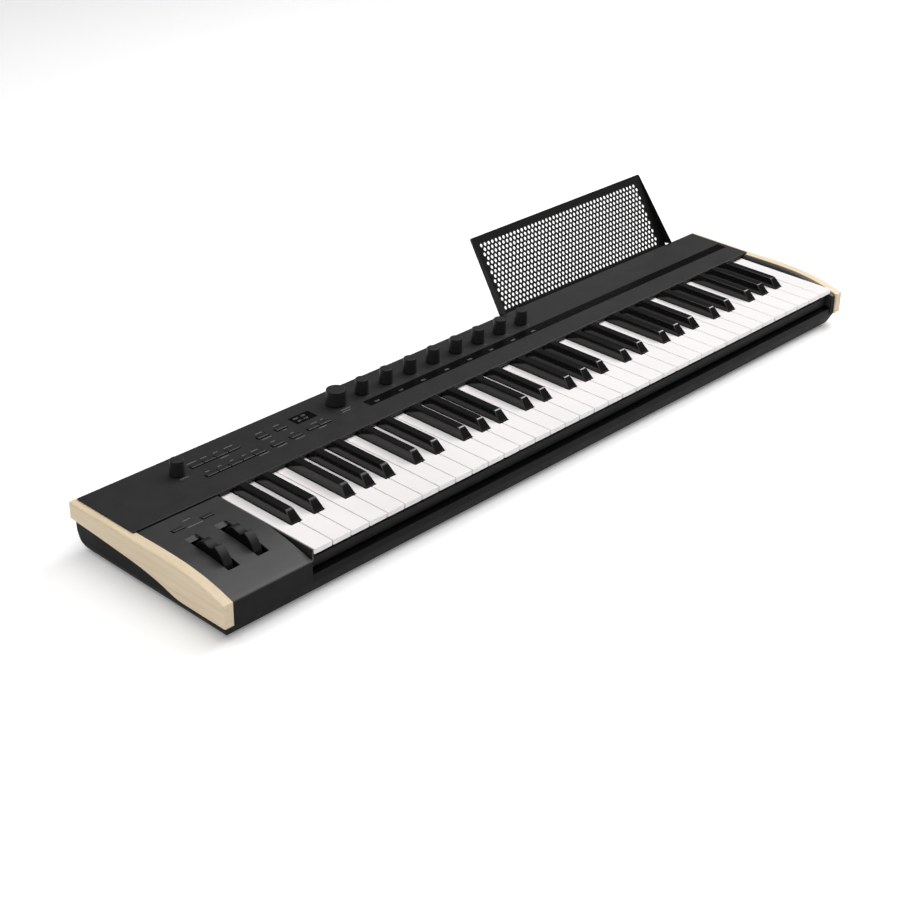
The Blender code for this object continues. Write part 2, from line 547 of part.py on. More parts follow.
sheet = [stand_point(0.0, -h), stand_point(STAND_LEN, -h), stand_point(STAND_LEN, h),
         stand_point(0.35, h), (STAND_Y - h, STAND_Z - 1.0), (STAND_Y - h, -17.0), (STAND_Y + h, -17.0),
         (STAND_Y + h, STAND_Z - 0.6)]
stand = solid("music_stand", [profile("X", sheet, STAND_X0, STAND_X1)], STEEL_BLACK)
flange = [stand_point(3.4, 0.0), stand_point(STAND_LEN - 2.0, 0.0),
          stand_point(STAND_LEN - 3.0, h + 0.3), stand_point(2.2, 12.2)]
join(stand, "stand_flanges", [profile("X", flange, STAND_X0 + 0.01, STAND_X0 + STAND_T),
                              profile("X", flange, STAND_X1 - STAND_T, STAND_X1 - 0.01)])
# two tongues reach down into the holders, the sheet between them ends above the case
cut(stand, "stand_tongues", [box(STAND_X0 - 5.0, 530.0, 215.0, 230.0, -30.0, 0.2),
                             box(570.0, 731.0, 215.0, 230.0, -30.0, 0.2),
                             box(771.0, STAND_X1 + 5.0, 215.0, 230.0, -30.0, 0.2)])
set_origin(stand, (STAND_X0 + STAND_X1) / 2, STAND_Y, STAND_Z)
holder = solid("stand_holder", [box(526.0, 775.0, 220.95, 226.6, -21.0, -0.2)], CHASSIS)
cut(holder, "holder_slots", [box(x - 20.4, x + 20.4, STAND_Y - h - GAP, STAND_Y + h + GAP, -18.0, 6.0)
                             for x in (550.0, 751.0)])
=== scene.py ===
# 61-key synthesizer with a lift-off music stand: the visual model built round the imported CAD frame.
# Lengths below are millimetres in the key frame, as in the CAD source: X runs along the keyboard
# from the left edge of the lowest white key, Y from the front edge of the white keys to the back,
# and Z is measured up from the top of the white keys.  place() turns that into metres in the
# object frame.
import math

import bmesh
import bpy
from mathutils import Matrix, Vector
from mathutils.geometry import delaunay_2d_cdt


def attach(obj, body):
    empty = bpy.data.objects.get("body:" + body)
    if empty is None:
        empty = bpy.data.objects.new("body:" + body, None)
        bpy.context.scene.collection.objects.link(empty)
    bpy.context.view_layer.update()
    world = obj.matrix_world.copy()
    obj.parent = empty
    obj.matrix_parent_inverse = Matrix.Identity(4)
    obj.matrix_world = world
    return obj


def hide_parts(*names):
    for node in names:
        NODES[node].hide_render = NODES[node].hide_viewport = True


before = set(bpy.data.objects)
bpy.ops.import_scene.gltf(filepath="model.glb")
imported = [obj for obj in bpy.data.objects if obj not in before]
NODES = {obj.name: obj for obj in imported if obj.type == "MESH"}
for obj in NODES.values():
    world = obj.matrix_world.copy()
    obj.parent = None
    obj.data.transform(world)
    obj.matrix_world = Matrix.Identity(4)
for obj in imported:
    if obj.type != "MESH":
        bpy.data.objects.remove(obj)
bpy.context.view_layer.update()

# ---------------------------------------------------------------- driving dimensions
X_MID, Y_MID, Z_FLOOR = 376.0, 134.79, -50.0
MM = 0.001

KEY_PITCH = 23.5
KEY_GAP = 1.0
OCTAVE = 7 * KEY_PITCH
KEY_WIDTH = 36 * KEY_PITCH
SHARP_CENTRES = (20.7, 49.8, 90.4, 117.5, 144.6)
SLOT_W = 14.6
WHITE_THICK = 2.2
LIP_DEPTH = 5.6
KEY_REAR = 137.0
SHARP_FRONT, SHARP_TOP = 47.2, 10.7
SHARP_W_BASE, SHARP_W_TOP = 12.6, 9.2
LEVER_END = 194.5

CASE_X0, CASE_X1 = -112.5, 864.5
CHEEK_T = 12.0
CHEEK_IN0, CHEEK_IN1 = CASE_X0 + CHEEK_T, CASE_X1 - CHEEK_T
LEDGE_Z = -25.8
APRON_Z = -32.6
BASE_Z = -46.4
GAP = 0.3
FRONT_STEP = -1.5
BLOCK_FACE = -3.0
PLATE_X0, PLATE_X1 = -104.0, 856.0
PLATE_Y0, PLATE_Y1 = 132.0, 219.0
PLATE_TOP, PLATE_THICK = 5.8, 1.6
CHEEK_ROUND, CHEEK_INNER_ROUND = 2.6, 0.35
KNOB_TOP, KNOB_BASE = 23.0, 6.4
KNOB_X0, KNOB_PITCH = 240.4, 36.0
BLOCK_X0, BLOCK_X1 = CHEEK_IN0 + GAP, -4.6
END_X0, END_X1 = KEY_WIDTH + 1.4, CHEEK_IN1 - GAP
BLOCK_HOLLOW = 2.4

WHEEL_Y, WHEEL_Z, WHEEL_R, WHEEL_W = 57.0, -6.5, 22.4, 9.8
WHEELS = (("pitch_wheel", -69.9), ("modulation_wheel", -35.1))
WHEEL_SHIFT, PIN_END = -1.6, 10.4
SLOT_Y0, SLOT_Y1, RAMP_END, WHEEL_SLOT_W = 29.4, 85.6, 92.6, 14.0
RAMP_GAP = 2.0

STAND_X0, STAND_X1 = 495.0, 806.0
STAND_TILT = math.radians(32.0)
STAND_LEN, STAND_T = 96.0, 1.2
STAND_Y, STAND_Z = 223.0, 2.4
TONGUE_BOTTOM = -17.0

JACKS = (("headphone", 626.0), ("pedal", 648.0), ("damper", 670.0))
JACK_Z = -15.6
OPENING_LOW, OPENING_HIGH = -15.0, 20.0

CHEEK_TOP = ((-4.8, -8.2), (5.0, -5.3), (15.0, -2.6), (30.0, 0.4), (45.0, 2.4), (60.0, 3.7),
             (80.0, 4.3), (100.0, 4.3), (128.0, 3.9), (222.0, 3.7))
CHEEK_BOTTOM = ((222.0, -14.6), (190.0, -16.2), (161.0, -18.0), (121.0, -21.0), (97.0, -24.2),
                (80.0, -27.8), (66.0, -31.4), (60.0, -32.4), (52.0, -32.8), (-4.8, -32.8))
BLOCK_TOP = ((-0.6, -8.8), (6.0, -7.0), (15.0, -4.8), (30.0, -1.5), (45.0, 1.0), (60.0, 2.7),
             (80.0, 3.7), (100.0, 3.9), (131.3, 3.9))


# ---------------------------------------------------------------- geometry helpers
def place(x, y, z):
    """Key frame millimetres to object frame metres."""
    return Vector(((x - X_MID) * MM, (y - Y_MID) * MM, (z - Z_FLOOR) * MM))


def point(axis, a, b, along):
    """A corner of an outline: axis X reads (y, z), axis Y reads (x, z), axis Z reads (x, y)."""
    if axis == "X":
        return place(along, a, b)
    if axis == "Y":
        return place(a, along, b)
    return place(a, b, along)


def curve(points, pieces=4):
    """A smooth line through the points, open at both ends."""
    line = []
    last = len(points) - 1
    for i in range(last):
        p0 = Vector(points[max(i - 1, 0)])
        p1, p2 = Vector(points[i]), Vector(points[i + 1])
        p3 = Vector(points[min(i + 2, last)])
        span = (p2 - p1).length
        t1 = (p2 - p0) * (span / max((p2 - p0).length, 1e-9))
        t2 = (p3 - p1) * (span / max((p3 - p1).length, 1e-9))
        for k in range(pieces):
            t = k / pieces
            line.append(tuple(p1 * (2 * t ** 3 - 3 * t ** 2 + 1) + t1 * (t ** 3 - 2 * t ** 2 + t)
                              + p2 * (3 * t ** 2 - 2 * t ** 3) + t2 * (t ** 3 - t ** 2)))
    line.append(tuple(points[-1]))
    return line


def area(outline):
    return sum(a[0] * b[1] - b[0] * a[1] for a, b in zip(outline, outline[1:] + outline[:1])) / 2


def fillet(corners, steps=4):
    """A closed outline with its corners rounded: each corner is (a, b, radius)."""
    out = []
    count = len(corners)
    for i, (a, b, radius) in enumerate(corners):
        here = Vector((a, b))
        if radius <= 0.0:
            out.append((a, b))
            continue
        before = Vector(corners[i - 1][:2]) - here
        after = Vector(corners[(i + 1) % count][:2]) - here
        half = before.angle(after) / 2
        reach = min(radius / math.tan(half), before.length * 0.49, after.length * 0.49)
        radius = reach * math.tan(half)
        start, end = here + before.normalized() * reach, here + after.normalized() * reach
        inward = (before.normalized() + after.normalized()).normalized()
        centre = here + inward * (radius / math.sin(half))
        first, second = start - centre, end - centre
        turn = first.angle_signed(second)
        for k in range(steps + 1):
            out.append(tuple(centre + Matrix.Rotation(-turn * k / steps, 2) @ first))
    return out


def rounded_box_outline(a0, a1, b0, b1, radius):
    return fillet([(a0, b0, radius), (a1, b0, radius), (a1, b1, radius), (a0, b1, radius)])


def inset(outline, amount):
    """The outline moved inwards by an amount, corner by corner."""
    if amount == 0.0:
        return list(outline)
    sign = 1.0 if area(outline) > 0 else -1.0
    out = []
    count = len(outline)
    for i in range(count):
        p0, p1, p2 = (Vector(outline[j % count]) for j in (i - 1, i, i + 1))
        d0, d1 = (p1 - p0).normalized(), (p2 - p1).normalized()
        n0, n1 = Vector((-d0.y, d0.x)) * sign, Vector((-d1.y, d1.x)) * sign
        mid = n0 + n1
        out.append(tuple(p1 + mid * (amount / max(1.0 + n0.dot(n1), 0.4))))
    return out


def slab(bm, axis, outline, low, high, round_low=0.0, round_high=0.0, steps=4):
    """A closed outline extruded along an axis, with its end edges rounded over."""
    levels = []
    for k in range(steps + 1 if round_low else 1):
        angle = math.pi / 2 * k / steps
        levels.append((round_low * (1 - math.sin(angle)), low + round_low * (1 - math.cos(angle))))
    for k in range(steps + 1 if round_high else 1):
        angle = math.pi / 2 * (1 - k / steps)
        levels.append((round_high * (1 - math.sin(angle)),
                       high - round_high * (1 - math.cos(angle))))
    rings = [[bm.verts.new(point(axis, a, b, along)) for a, b in inset(outline, amount)]
             for amount, along in levels]
    faces = [bm.faces.new(rings[0][::-1]), bm.faces.new(rings[-1])]
    for near, far in zip(rings, rings[1:]):
        for i in range(len(near)):
            j = (i + 1) % len(near)
            faces.append(bm.faces.new((near[i], near[j], far[j], far[i])))
    return faces


def lathe(bm, cx, cy, outline, steps=64, axis="Z", mat=0):
    """A turned shape: (radius, height) from one end of the axis to the other."""
    rings = []
    for radius, along in outline:
        if radius == 0.0:
            rings.append([bm.verts.new(point(axis, cx, cy, along))])
            continue
        rings.append([bm.verts.new(point(axis, cx + radius * math.cos(2 * math.pi * k / steps),
                                         cy + radius * math.sin(2 * math.pi * k / steps), along))
                      for k in range(steps)])
    for near, far in zip(rings, rings[1:]):
        for i in range(steps):
            j = (i + 1) % steps
            corners = [near[i % len(near)], near[j % len(near)],
                       far[j % len(far)], far[i % len(far)]]
            unique = []
            for v in corners:
                if v not in unique:
                    unique.append(v)
            bm.faces.new(unique).material_index = mat


def piece(name, build, body, mats, replaces=(), sharp=50.0):
    """One shown object: build(bm) adds its shapes; it rides on a CAD body."""
    bm = bmesh.new()
    build(bm)
    bmesh.ops.recalc_face_normals(bm, faces=bm.faces[:])
    mesh = bpy.data.meshes.new(name)
    bm.to_mesh(mesh)
    bm.free()
    return finish_piece(name, mesh, body, mats, replaces, sharp)


def finish_piece(name, mesh, body, mats, replaces=(), sharp=50.0):
    obj = bpy.data.objects.new(name, mesh)
    bpy.context.scene.collection.objects.link(obj)
    for mat in mats:
        mesh.materials.append(mat)
    mesh.shade_smooth()
    mesh.set_sharp_from_angle(angle=math.radians(sharp))
    normals = obj.modifiers.new("even_normals", "WEIGHTED_NORMAL")
    normals.keep_sharp = True
    normals.weight = 80
    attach(obj, body)
    if replaces:
        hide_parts(*replaces)
    return obj


def evaluated_mesh(obj):
    """A copy of an object's mesh with its modifiers applied."""
    bpy.context.view_layer.update()
    shown = obj.evaluated_get(bpy.context.evaluated_depsgraph_get())
    return bpy.data.meshes.new_from_object(shown)


def carve(name, build, cutters):
    """The mesh left when cutters are taken from a built shape."""
    helpers = []
    for label, maker in (("body", build), *(("cut", c) for c in cutters)):
        bm = bmesh.new()
        maker(bm)
        bmesh.ops.recalc_face_normals(bm, faces=bm.faces[:])
        mesh = bpy.data.meshes.new(name + "_" + label)
        bm.to_mesh(mesh)
        bm.free()
        obj = bpy.data.objects.new(name + "_" + label, mesh)
        bpy.context.scene.collection.objects.link(obj)
        helpers.append(obj)
    main = helpers[0]
    for obj in helpers[1:]:
        mod = main.modifiers.new("cut", "BOOLEAN")
        mod.operation = "DIFFERENCE"
        mod.solver = "EXACT"
        mod.object = obj
    made = evaluated_mesh(main)
    made.name = name
    for obj in helpers:
        bpy.data.objects.remove(obj, do_unlink=True)
    return made


def bevel_mesh(mesh, width, choose, segments=3):
    """Rounds the chosen edges of a mesh by a width in millimetres."""
    bm = bmesh.new()
    bm.from_mesh(mesh)
    bmesh.ops.dissolve_limit(bm, angle_limit=math.radians(0.6), verts=bm.verts[:],
                             edges=bm.edges[:])
    edges = [e for e in bm.edges if len(e.link_faces) == 2
             and e.calc_face_angle() > math.radians(25.0) and choose(e)]
    bmesh.ops.bevel(bm, geom=edges, offset=width * MM, segments=segments, profile=0.5,
                    affect="EDGES", clamp_overlap=True)
    bm.to_mesh(mesh)
    bm.free()


def key_z(place_m):
    """Height of a place in the object frame, in key frame millimetres."""
    return place_m.z / MM + Z_FLOOR


def key_y(place_m):
    """Depth of a place in the object frame, in key frame millimetres."""
    return place_m.y / MM + Y_MID


def height_at(line, y):
    for (y0, z0), (y1, z1) in zip(line, line[1:]):
        if y0 <= y <= y1:
            return z0 + (z1 - z0) * (y - y0) / (y1 - y0)
    return line[0][1] if y < line[0][0] else line[-1][1]


# ---------------------------------------------------------------- materials
class Look:
    """A Principled material with helpers that wire procedural detail into it."""

    def __init__(self, name, colour, rough, **sockets):
        self.mat = bpy.data.materials.new(name)
        self.mat.use_nodes = True
        self.tree = self.mat.node_tree
        self.shader = self.tree.nodes["Principled BSDF"]
        self.shader.inputs["Base Color"].default_value = (*colour, 1.0)
        self.shader.inputs["Roughness"].default_value = rough
        for socket, value in sockets.items():
            self.shader.inputs[socket.replace("_", " ")].default_value = value
        self.where = self.tree.nodes.new("ShaderNodeTexCoord").outputs["Object"]

    def node(self, kind, **inputs):
        made = self.tree.nodes.new(kind)
        for name, value in inputs.items():
            socket = made.inputs[name.replace("_", " ")]
            if isinstance(value, bpy.types.NodeSocket):
                self.tree.links.new(value, socket)
            else:
                socket.default_value = value
        return made

    def stretched(self, sx, sy, sz):
        made = self.node("ShaderNodeMapping", Vector=self.where)
        made.inputs["Scale"].default_value = (sx, sy, sz)
        return made.outputs["Vector"]

    def noise(self, scale, detail=3.0, rough=0.5, vector=None):
        made = self.node("ShaderNodeTexNoise", Vector=vector or self.where, Scale=scale,
                         Detail=detail, Roughness=rough)
        return made.outputs["Fac"]

    def cells(self, scale):
        return self.node("ShaderNodeTexVoronoi", Vector=self.where, Scale=scale).outputs["Distance"]

    def ramp(self, fac, stops):
        made = self.node("ShaderNodeValToRGB", Fac=fac)
        elements = made.color_ramp.elements
        while len(elements) < len(stops):
            elements.new(0.5)
        for element, (position, colour) in zip(elements, stops):
            element.position = position
            element.color = (*colour, 1.0)
        return made.outputs["Color"]

    def spread(self, fac, low, high):
        made = self.node("ShaderNodeMapRange", Value=fac)
        made.inputs["From Min"].default_value = 0.25
        made.inputs["From Max"].default_value = 0.75
        made.inputs["To Min"].default_value = low
        made.inputs["To Max"].default_value = high
        return made.outputs["Result"]

    def maths(self, operation, a, b):
        made = self.tree.nodes.new("ShaderNodeMath")
        made.operation = operation
        for socket, value in zip(made.inputs, (a, b)):
            if isinstance(value, bpy.types.NodeSocket):
                self.tree.links.new(value, socket)
            else:
                socket.default_value = value
        return made.outputs["Value"]

    def mix(self, fac, a, b):
        made = self.tree.nodes.new("ShaderNodeMix")
        made.data_type = "RGBA"
        wanted = ((made.inputs["Factor"], fac), (made.inputs[6], a), (made.inputs[7], b))
        for socket, value in wanted:
            if isinstance(value, bpy.types.NodeSocket):
                self.tree.links.new(value, socket)
            else:
                socket.default_value = value if socket.type == "VALUE" else (*value, 1.0)
        return made.outputs[2]

    def set(self, socket, value):
        self.tree.links.new(value, self.shader.inputs[socket])

    def bump(self, height, strength, distance):
        made = self.node("ShaderNodeBump", Height=height, Strength=strength, Distance=distance)
        self.set("Normal", made.outputs["Normal"])


def tinted(colour, factor):
    return tuple(min(1.0, c * factor) for c in colour)


def grained_plastic(name, colour, rough, grain=2600.0, depth=0.00004, spread=0.12, **sockets):
    """Moulded or powder-coated surface: fine pebble grain, faint cloudy shade and gloss changes."""
    look = Look(name, colour, rough, **sockets)
    clouds = look.noise(22.0, 4.0, 0.6)
    fine = look.noise(grain, 2.0, 0.6)
    look.set("Base Color", look.ramp(clouds, [(0.3, tinted(colour, 1 - spread)),
                                              (0.7, tinted(colour, 1 + spread))]))
    smudges = look.noise(60.0, 3.0, 0.5)
    look.set("Roughness", look.spread(smudges, rough - 0.05, rough + 0.05))
    pebbles = look.maths("MULTIPLY", look.cells(grain * 0.55), 0.8)
    look.bump(look.maths("ADD", fine, pebbles), 0.35, depth)
    return look.mat


def polished_plastic(name, colour, rough, **sockets):
    """Glossy moulding: nearly flat, with faint haze and hairline marks from use."""
    look = Look(name, colour, rough, **sockets)
    haze = look.noise(45.0, 4.0, 0.6)
    hairs = look.noise(1.0, 2.0, 0.7, look.stretched(900.0, 35.0, 900.0))
    look.set("Roughness", look.spread(look.maths("MULTIPLY", look.maths("ADD", haze, hairs), 0.5),
                                      rough * 0.75, rough * 1.35))
    shade = look.noise(12.0, 2.0, 0.5)
    look.set("Base Color", look.ramp(shade, [(0.3, tinted(colour, 0.97)),
                                             (0.7, tinted(colour, 1.03))]))
    look.bump(hairs, 0.12, 0.00001)
    return look.mat


def pale_wood():
    """Straight-grained pale maple, sanded and oiled; the grain runs from front to back."""
    look = Look("pale_maple", (0.70, 0.60, 0.46), 0.45)
    bend = look.noise(5.0, 2.0, 0.5)
    wavy = look.node("ShaderNodeVectorMath")
    wavy.operation = "MULTIPLY_ADD"
    look.tree.links.new(bend, wavy.inputs[0])
    wavy.inputs[1].default_value = (0.004, 0.0, 0.006)
    look.tree.links.new(look.where, wavy.inputs[2])
    stretch = look.node("ShaderNodeMapping", Vector=wavy.outputs["Vector"])
    stretch.inputs["Scale"].default_value = (170.0, 7.0, 240.0)
    rings = look.noise(1.0, 5.0, 0.62, stretch.outputs["Vector"])
    colour = look.ramp(rings, [(0.25, (0.63, 0.485, 0.315)), (0.42, (0.70, 0.565, 0.385)),
                               (0.58, (0.73, 0.605, 0.425)), (0.80, (0.76, 0.645, 0.47))])
    pores = look.noise(1.0, 2.0, 0.5, look.stretched(1500.0, 60.0, 1500.0))
    specks = look.ramp(pores, [(0.60, (0.0, 0.0, 0.0)), (0.74, (1.0, 1.0, 1.0))])
    look.set("Base Color", look.mix(look.maths("MULTIPLY", specks, 0.35), colour,
                                    (0.50, 0.38, 0.26)))
    look.set("Roughness", look.spread(rings, 0.40, 0.52))
    look.bump(look.maths("ADD", look.maths("MULTIPLY", pores, -0.6), rings), 0.25, 0.00006)
    return look.mat


def circuit_green():
    """Solder mask over a faint net of copper tracks."""
    look = Look("solder_mask", (0.012, 0.10, 0.045), 0.3)
    tracks = look.node("ShaderNodeTexBrick", Vector=look.where, Scale=160.0, Mortar_Size=0.03)
    tracks.inputs["Color1"].default_value = (0.010, 0.085, 0.038, 1.0)
    tracks.inputs["Color2"].default_value = (0.013, 0.10, 0.045, 1.0)
    tracks.inputs["Mortar"].default_value = (0.03, 0.17, 0.075, 1.0)
    look.set("Base Color", tracks.outputs["Color"])
    look.bump(tracks.outputs["Fac"], 0.3, 0.00003)
    return look.mat


def metal(name, colour, rough, grain=1800.0):
    """Plated metal with fine scratches."""
    look = Look(name, colour, rough, Metallic=1.0)
    marks = look.noise(1.0, 3.0, 0.6, look.stretched(grain, grain * 0.08, grain * 0.3))
    look.set("Roughness", look.spread(marks, rough * 0.8, rough * 1.25))
    shade = look.noise(300.0, 3.0, 0.5)
    look.set("Base Color", look.ramp(shade, [(0.3, tinted(colour, 0.9)), (0.7, colour)]))
    look.bump(marks, 0.1, 0.00001)
    return look.mat


def ink(name, colour, glow=0.0):
    """Screen-printed ink, or lit display segments, with slightly uneven cover."""
    look = Look(name, colour, 0.5)
    cover = look.noise(1500.0, 2.0, 0.5)
    look.set("Base Color", look.ramp(cover, [(0.3, tinted(colour, 0.85)), (0.6, colour)]))
    if glow:
        look.shader.inputs["Emission Color"].default_value = (*colour, 1.0)
        look.shader.inputs["Emission Strength"].default_value = glow
    return look.mat


BASE = grained_plastic("base_moulding", (0.0036, 0.0033, 0.0033), 0.45, 2300.0,
                       Specular_IOR_Level=0.08)
PANEL = grained_plastic("charcoal_powder_coat", (0.0175, 0.0163, 0.0168), 0.46, 3200.0, 0.00003,
                        0.05, Specular_IOR_Level=0.36)
BLOCK = grained_plastic("charcoal_moulding", (0.0300, 0.0285, 0.0290), 0.42, 2600.0, 0.00003, 0.06)
# Darker, matter copy of the block moulding for its upright front wall: painted shade.
BLOCK_FRONT_SHADE = grained_plastic("charcoal_front_painted_shade", (0.0070, 0.0064, 0.0066), 0.5, 2600.0, 0.00003,
                              0.06, Specular_IOR_Level=0.1)
WOOD = pale_wood()
IVORY = polished_plastic("white_key_plastic", (0.87, 0.84, 0.835), 0.22)
EBONY = polished_plastic("black_key_plastic", (0.0080, 0.0075, 0.0077), 0.10)
KNOB = grained_plastic("soft_touch_grey", (0.0205, 0.0195, 0.0200), 0.44, 4200.0, 0.00002, 0.05,
                       Specular_IOR_Level=0.25)
WHEEL = grained_plastic("wheel_rubber", (0.0115, 0.0108, 0.0110), 0.5, 3600.0, 0.00002, 0.06,
                        Specular_IOR_Level=0.26)
# Near-black copy of the wheel rubber for the wheel flanks: painted shade.
WHEEL_FLANK_SHADE = grained_plastic("wheel_flank_painted_shade", (0.0022, 0.0020, 0.0021), 0.6, 2400.0, 0.00003, 0.1,
                             Specular_IOR_Level=0.12)
BUTTON = grained_plastic("button_rubber_grey", (0.0200, 0.0190, 0.0195), 0.5, 4200.0, 0.00002,
                         0.05, Specular_IOR_Level=0.4)
# Dark copy of the button rubber for the cap sides: painted shade in the gaps round the caps.
BUTTON_SIDE_SHADE = grained_plastic("button_side_painted_shade", (0.0030, 0.0028, 0.0029), 0.6, 4200.0, 0.00002,
                              0.05, Specular_IOR_Level=0.12)
WINDOW = polished_plastic("smoked_window", (0.0032, 0.0031, 0.0032), 0.24, Specular_IOR_Level=0.08)
STEEL = grained_plastic("black_powder_coat", (0.0050, 0.0049, 0.0050), 0.5, 3000.0, 0.00003, 0.08,
                        Specular_IOR_Level=0.2)
BOARD = circuit_green()
RUBBER = grained_plastic("foot_rubber", (0.012, 0.012, 0.012), 0.75, 1500.0, 0.00008, 0.2)
CHASSIS = grained_plastic("chassis_moulding", (0.0085, 0.0082, 0.0084), 0.55, 1800.0, 0.00005,
                          0.12, Specular_IOR_Level=0.2)
SOCKET = grained_plastic("socket_moulding", (0.0085, 0.0085, 0.009), 0.38, 2400.0)
NICKEL = metal("nickel_plate", (0.55, 0.54, 0.52), 0.28)
BLACK_SCREW = metal("black_oxide", (0.05, 0.05, 0.052), 0.35)
GOLD = metal("gilt_contact", (0.72, 0.52, 0.22), 0.25)
PRINT = ink("grey_print", (0.19, 0.185, 0.185))
LIT = ink("display_segments", (0.16, 0.17, 0.18), 0.05)


# ---------------------------------------------------------------- CAD nodes that stay
def soften(node, mat, width, segments=2):
    """Keeps a CAD node, gives it its finish, and rounds its edges."""
    obj = NODES[node]
    obj.data.materials.clear()
    obj.data.materials.append(mat)
    obj.data.shade_smooth()
    weld = obj.modifiers.new("weld", "WELD")
    weld.merge_threshold = 0.000002
    flat = obj.modifiers.new("flat_faces", "DECIMATE")
    flat.decimate_type = "DISSOLVE"
    flat.angle_limit = math.radians(0.5)
    bevel = obj.modifiers.new("edges", "BEVEL")
    bevel.width = width * MM
    bevel.segments = segments
    bevel.limit_method = "ANGLE"
    bevel.angle_limit = math.radians(28.0)
    bevel.use_clamp_overlap = True
    bevel.miter_outer = "MITER_ARC"
    normals = obj.modifiers.new("even_normals", "WEIGHTED_NORMAL")
    normals.weight = 80


soften("base_tray", BASE, 0.7, 3)
for node, mat, width in (("display_window", WINDOW, 0.15), ("strip_window", WINDOW, 0.15),
                         ("wheel_bracket", CHASSIS, 0.3), ("keybed_chassis", CHASSIS, 0.4),
                         ("contact_board", BOARD, 0.2), ("panel_board", BOARD, 0.15),
                         ("main_board", BOARD, 0.15), ("jack_panel", SOCKET, 0.25),
                         ("stand_holder", CHASSIS, 0.3)):
    soften(node, mat, width)
for number in range(1, 5):
    soften("foot_%d" % number, RUBBER, 0.35)
soften("power_button", BUTTON, 0.5, 3)


# ---------------------------------------------------------------- wooden cheeks
def cheek(bm, inner, outer):
    outline = curve(CHEEK_TOP, 5) + curve(CHEEK_BOTTOM, 5)
    rounds = (CHEEK_ROUND, CHEEK_INNER_ROUND)
    if outer > inner:
        rounds = rounds[::-1]
    slab(bm, "X", outline, min(inner, outer), max(inner, outer), *rounds, 6)


for side, inner, outer in (("left", CHEEK_IN0, CASE_X0), ("right", CHEEK_IN1, CASE_X1)):
    piece("wood_cheek_" + side, lambda bm, a=inner, b=outer: cheek(bm, a, b), "case", [WOOD],
          [side + "_cheek"])

# ---------------------------------------------------------------- wheel block and treble end block
block_line = curve(BLOCK_TOP, 5)
block_front = [(16.0, LEDGE_Z + GAP), (FRONT_STEP, LEDGE_Z + GAP), (FRONT_STEP, APRON_Z),
               (BLOCK_FACE, APRON_Z)]
for k in range(7):
    turn = math.radians(15.0 * k)
    block_front.append((BLOCK_FACE + 2.6 * (1 - math.cos(turn)), -11.3 + 2.2 * math.sin(turn)))
block_outline = block_front + [p for p in block_line if p[0] > 0.4] + [(131.3, -20.0)]
block_under = [(-0.6, -40.0), (-0.6, -11.0)]
block_under += [(y, z - BLOCK_HOLLOW) for y, z in block_line if y > 0.4]
block_under += [(140.0, 1.5), (140.0, -40.0)]
BLOCK_BUTTONS = (("button_f1", -70.0, 109.6, 14.0), ("button_f2", -35.3, 109.6, 14.0))


def opening(outline):
    """A cutter straight down through the block."""
    return lambda bm: slab(bm, "Z", outline, OPENING_LOW, OPENING_HIGH)


def block_cutters():
    yield lambda bm: slab(bm, "X", block_under, BLOCK_X0 - 5.0, BLOCK_X1 - 2.0)
    for name, cx in WHEELS:
        left, right = cx - WHEEL_SLOT_W / 2, cx + WHEEL_SLOT_W / 2
        yield opening(rounded_box_outline(left, right, SLOT_Y0, SLOT_Y1, 1.0))
        ramp = [(SLOT_Y1 - 0.4, 1.9), (RAMP_END, 3.6), (RAMP_END, 8.0), (SLOT_Y1 - 0.4, 8.0)]
        yield lambda bm, a=left, b=right - RAMP_GAP: slab(bm, "X", ramp, a, b)
        yield opening(rounded_box_outline(right - RAMP_GAP + 0.3, right, SLOT_Y1 - 3.0,
                                          RAMP_END - 1.0, 0.5))
    for name, cx, cy, width in BLOCK_BUTTONS:
        reach = width / 2 + GAP
        yield opening(rounded_box_outline(cx - reach, cx + reach, cy - 3.0, cy + 3.0, 0.6))


block_mesh = carve("wheel_block_shell",
                   lambda bm: slab(bm, "X", block_outline, BLOCK_X0, BLOCK_X1), block_cutters())
end_mesh = carve("treble_end_shell", lambda bm: slab(bm, "X", block_outline, END_X0, END_X1),
                 [lambda bm: slab(bm, "X", block_under, END_X0 + 2.1, END_X1 + 5.0)])


def block_edge(edge):
    """The edges that show: round the top face, its openings and its right-hand end."""
    heights = [key_z(v.co) for v in edge.verts]
    ys = [key_y(v.co) for v in edge.verts]
    on_top = all(z > height_at(BLOCK_TOP, y) - 2.0 for y, z in zip(ys, heights))
    in_front = all(y < 1.0 for y in ys) and min(heights) > LEDGE_Z
    return on_top or in_front


def paint_front_shade(mesh):
    """Painted shade: the upright front wall takes a darker, matter copy of the block moulding."""
    for face in mesh.polygons:
        if face.normal.y < -0.95 and key_z(face.center) < -10.0:
            face.material_index = 1



for name, mesh, node in (("wheel_block_shell", block_mesh, "wheel_block"),
                         ("treble_end_shell", end_mesh, "right_end_block")):
    bevel_mesh(mesh, 0.45, block_edge)
    paint_front_shade(mesh)
    finish_piece(name, mesh, "case", [BLOCK, BLOCK_FRONT_SHADE], [node], 40.0)


# ---------------------------------------------------------------- pitch and modulation wheels
NOTCH = ((-25.0, 0.0), (-21.5, 0.2), (-18.0, 1.5), (-14.0, 3.5), (-8.0, 4.7), (-1.0, 4.8),
         (6.0, 4.3), (13.0, 3.0), (20.0, 1.5), (27.0, 0.5), (33.0, 0.0))


def wheel_rim():
    """Side outline of a wheel: a disc with a thumb notch across the top, steeper at its front."""
    rim = curve(NOTCH, 4)
    for k in range(180):
        degrees = -180.0 + 2.0 * k
        if not NOTCH[0][0] < degrees < NOTCH[-1][0]:
            rim.append((degrees, 0.0))
    outline = []
    for degrees, dip in sorted(rim):
        turn, radius = math.radians(degrees), WHEEL_R - dip
        outline.append((WHEEL_Y + radius * math.sin(turn), WHEEL_Z + radius * math.cos(turn)))
    return outline


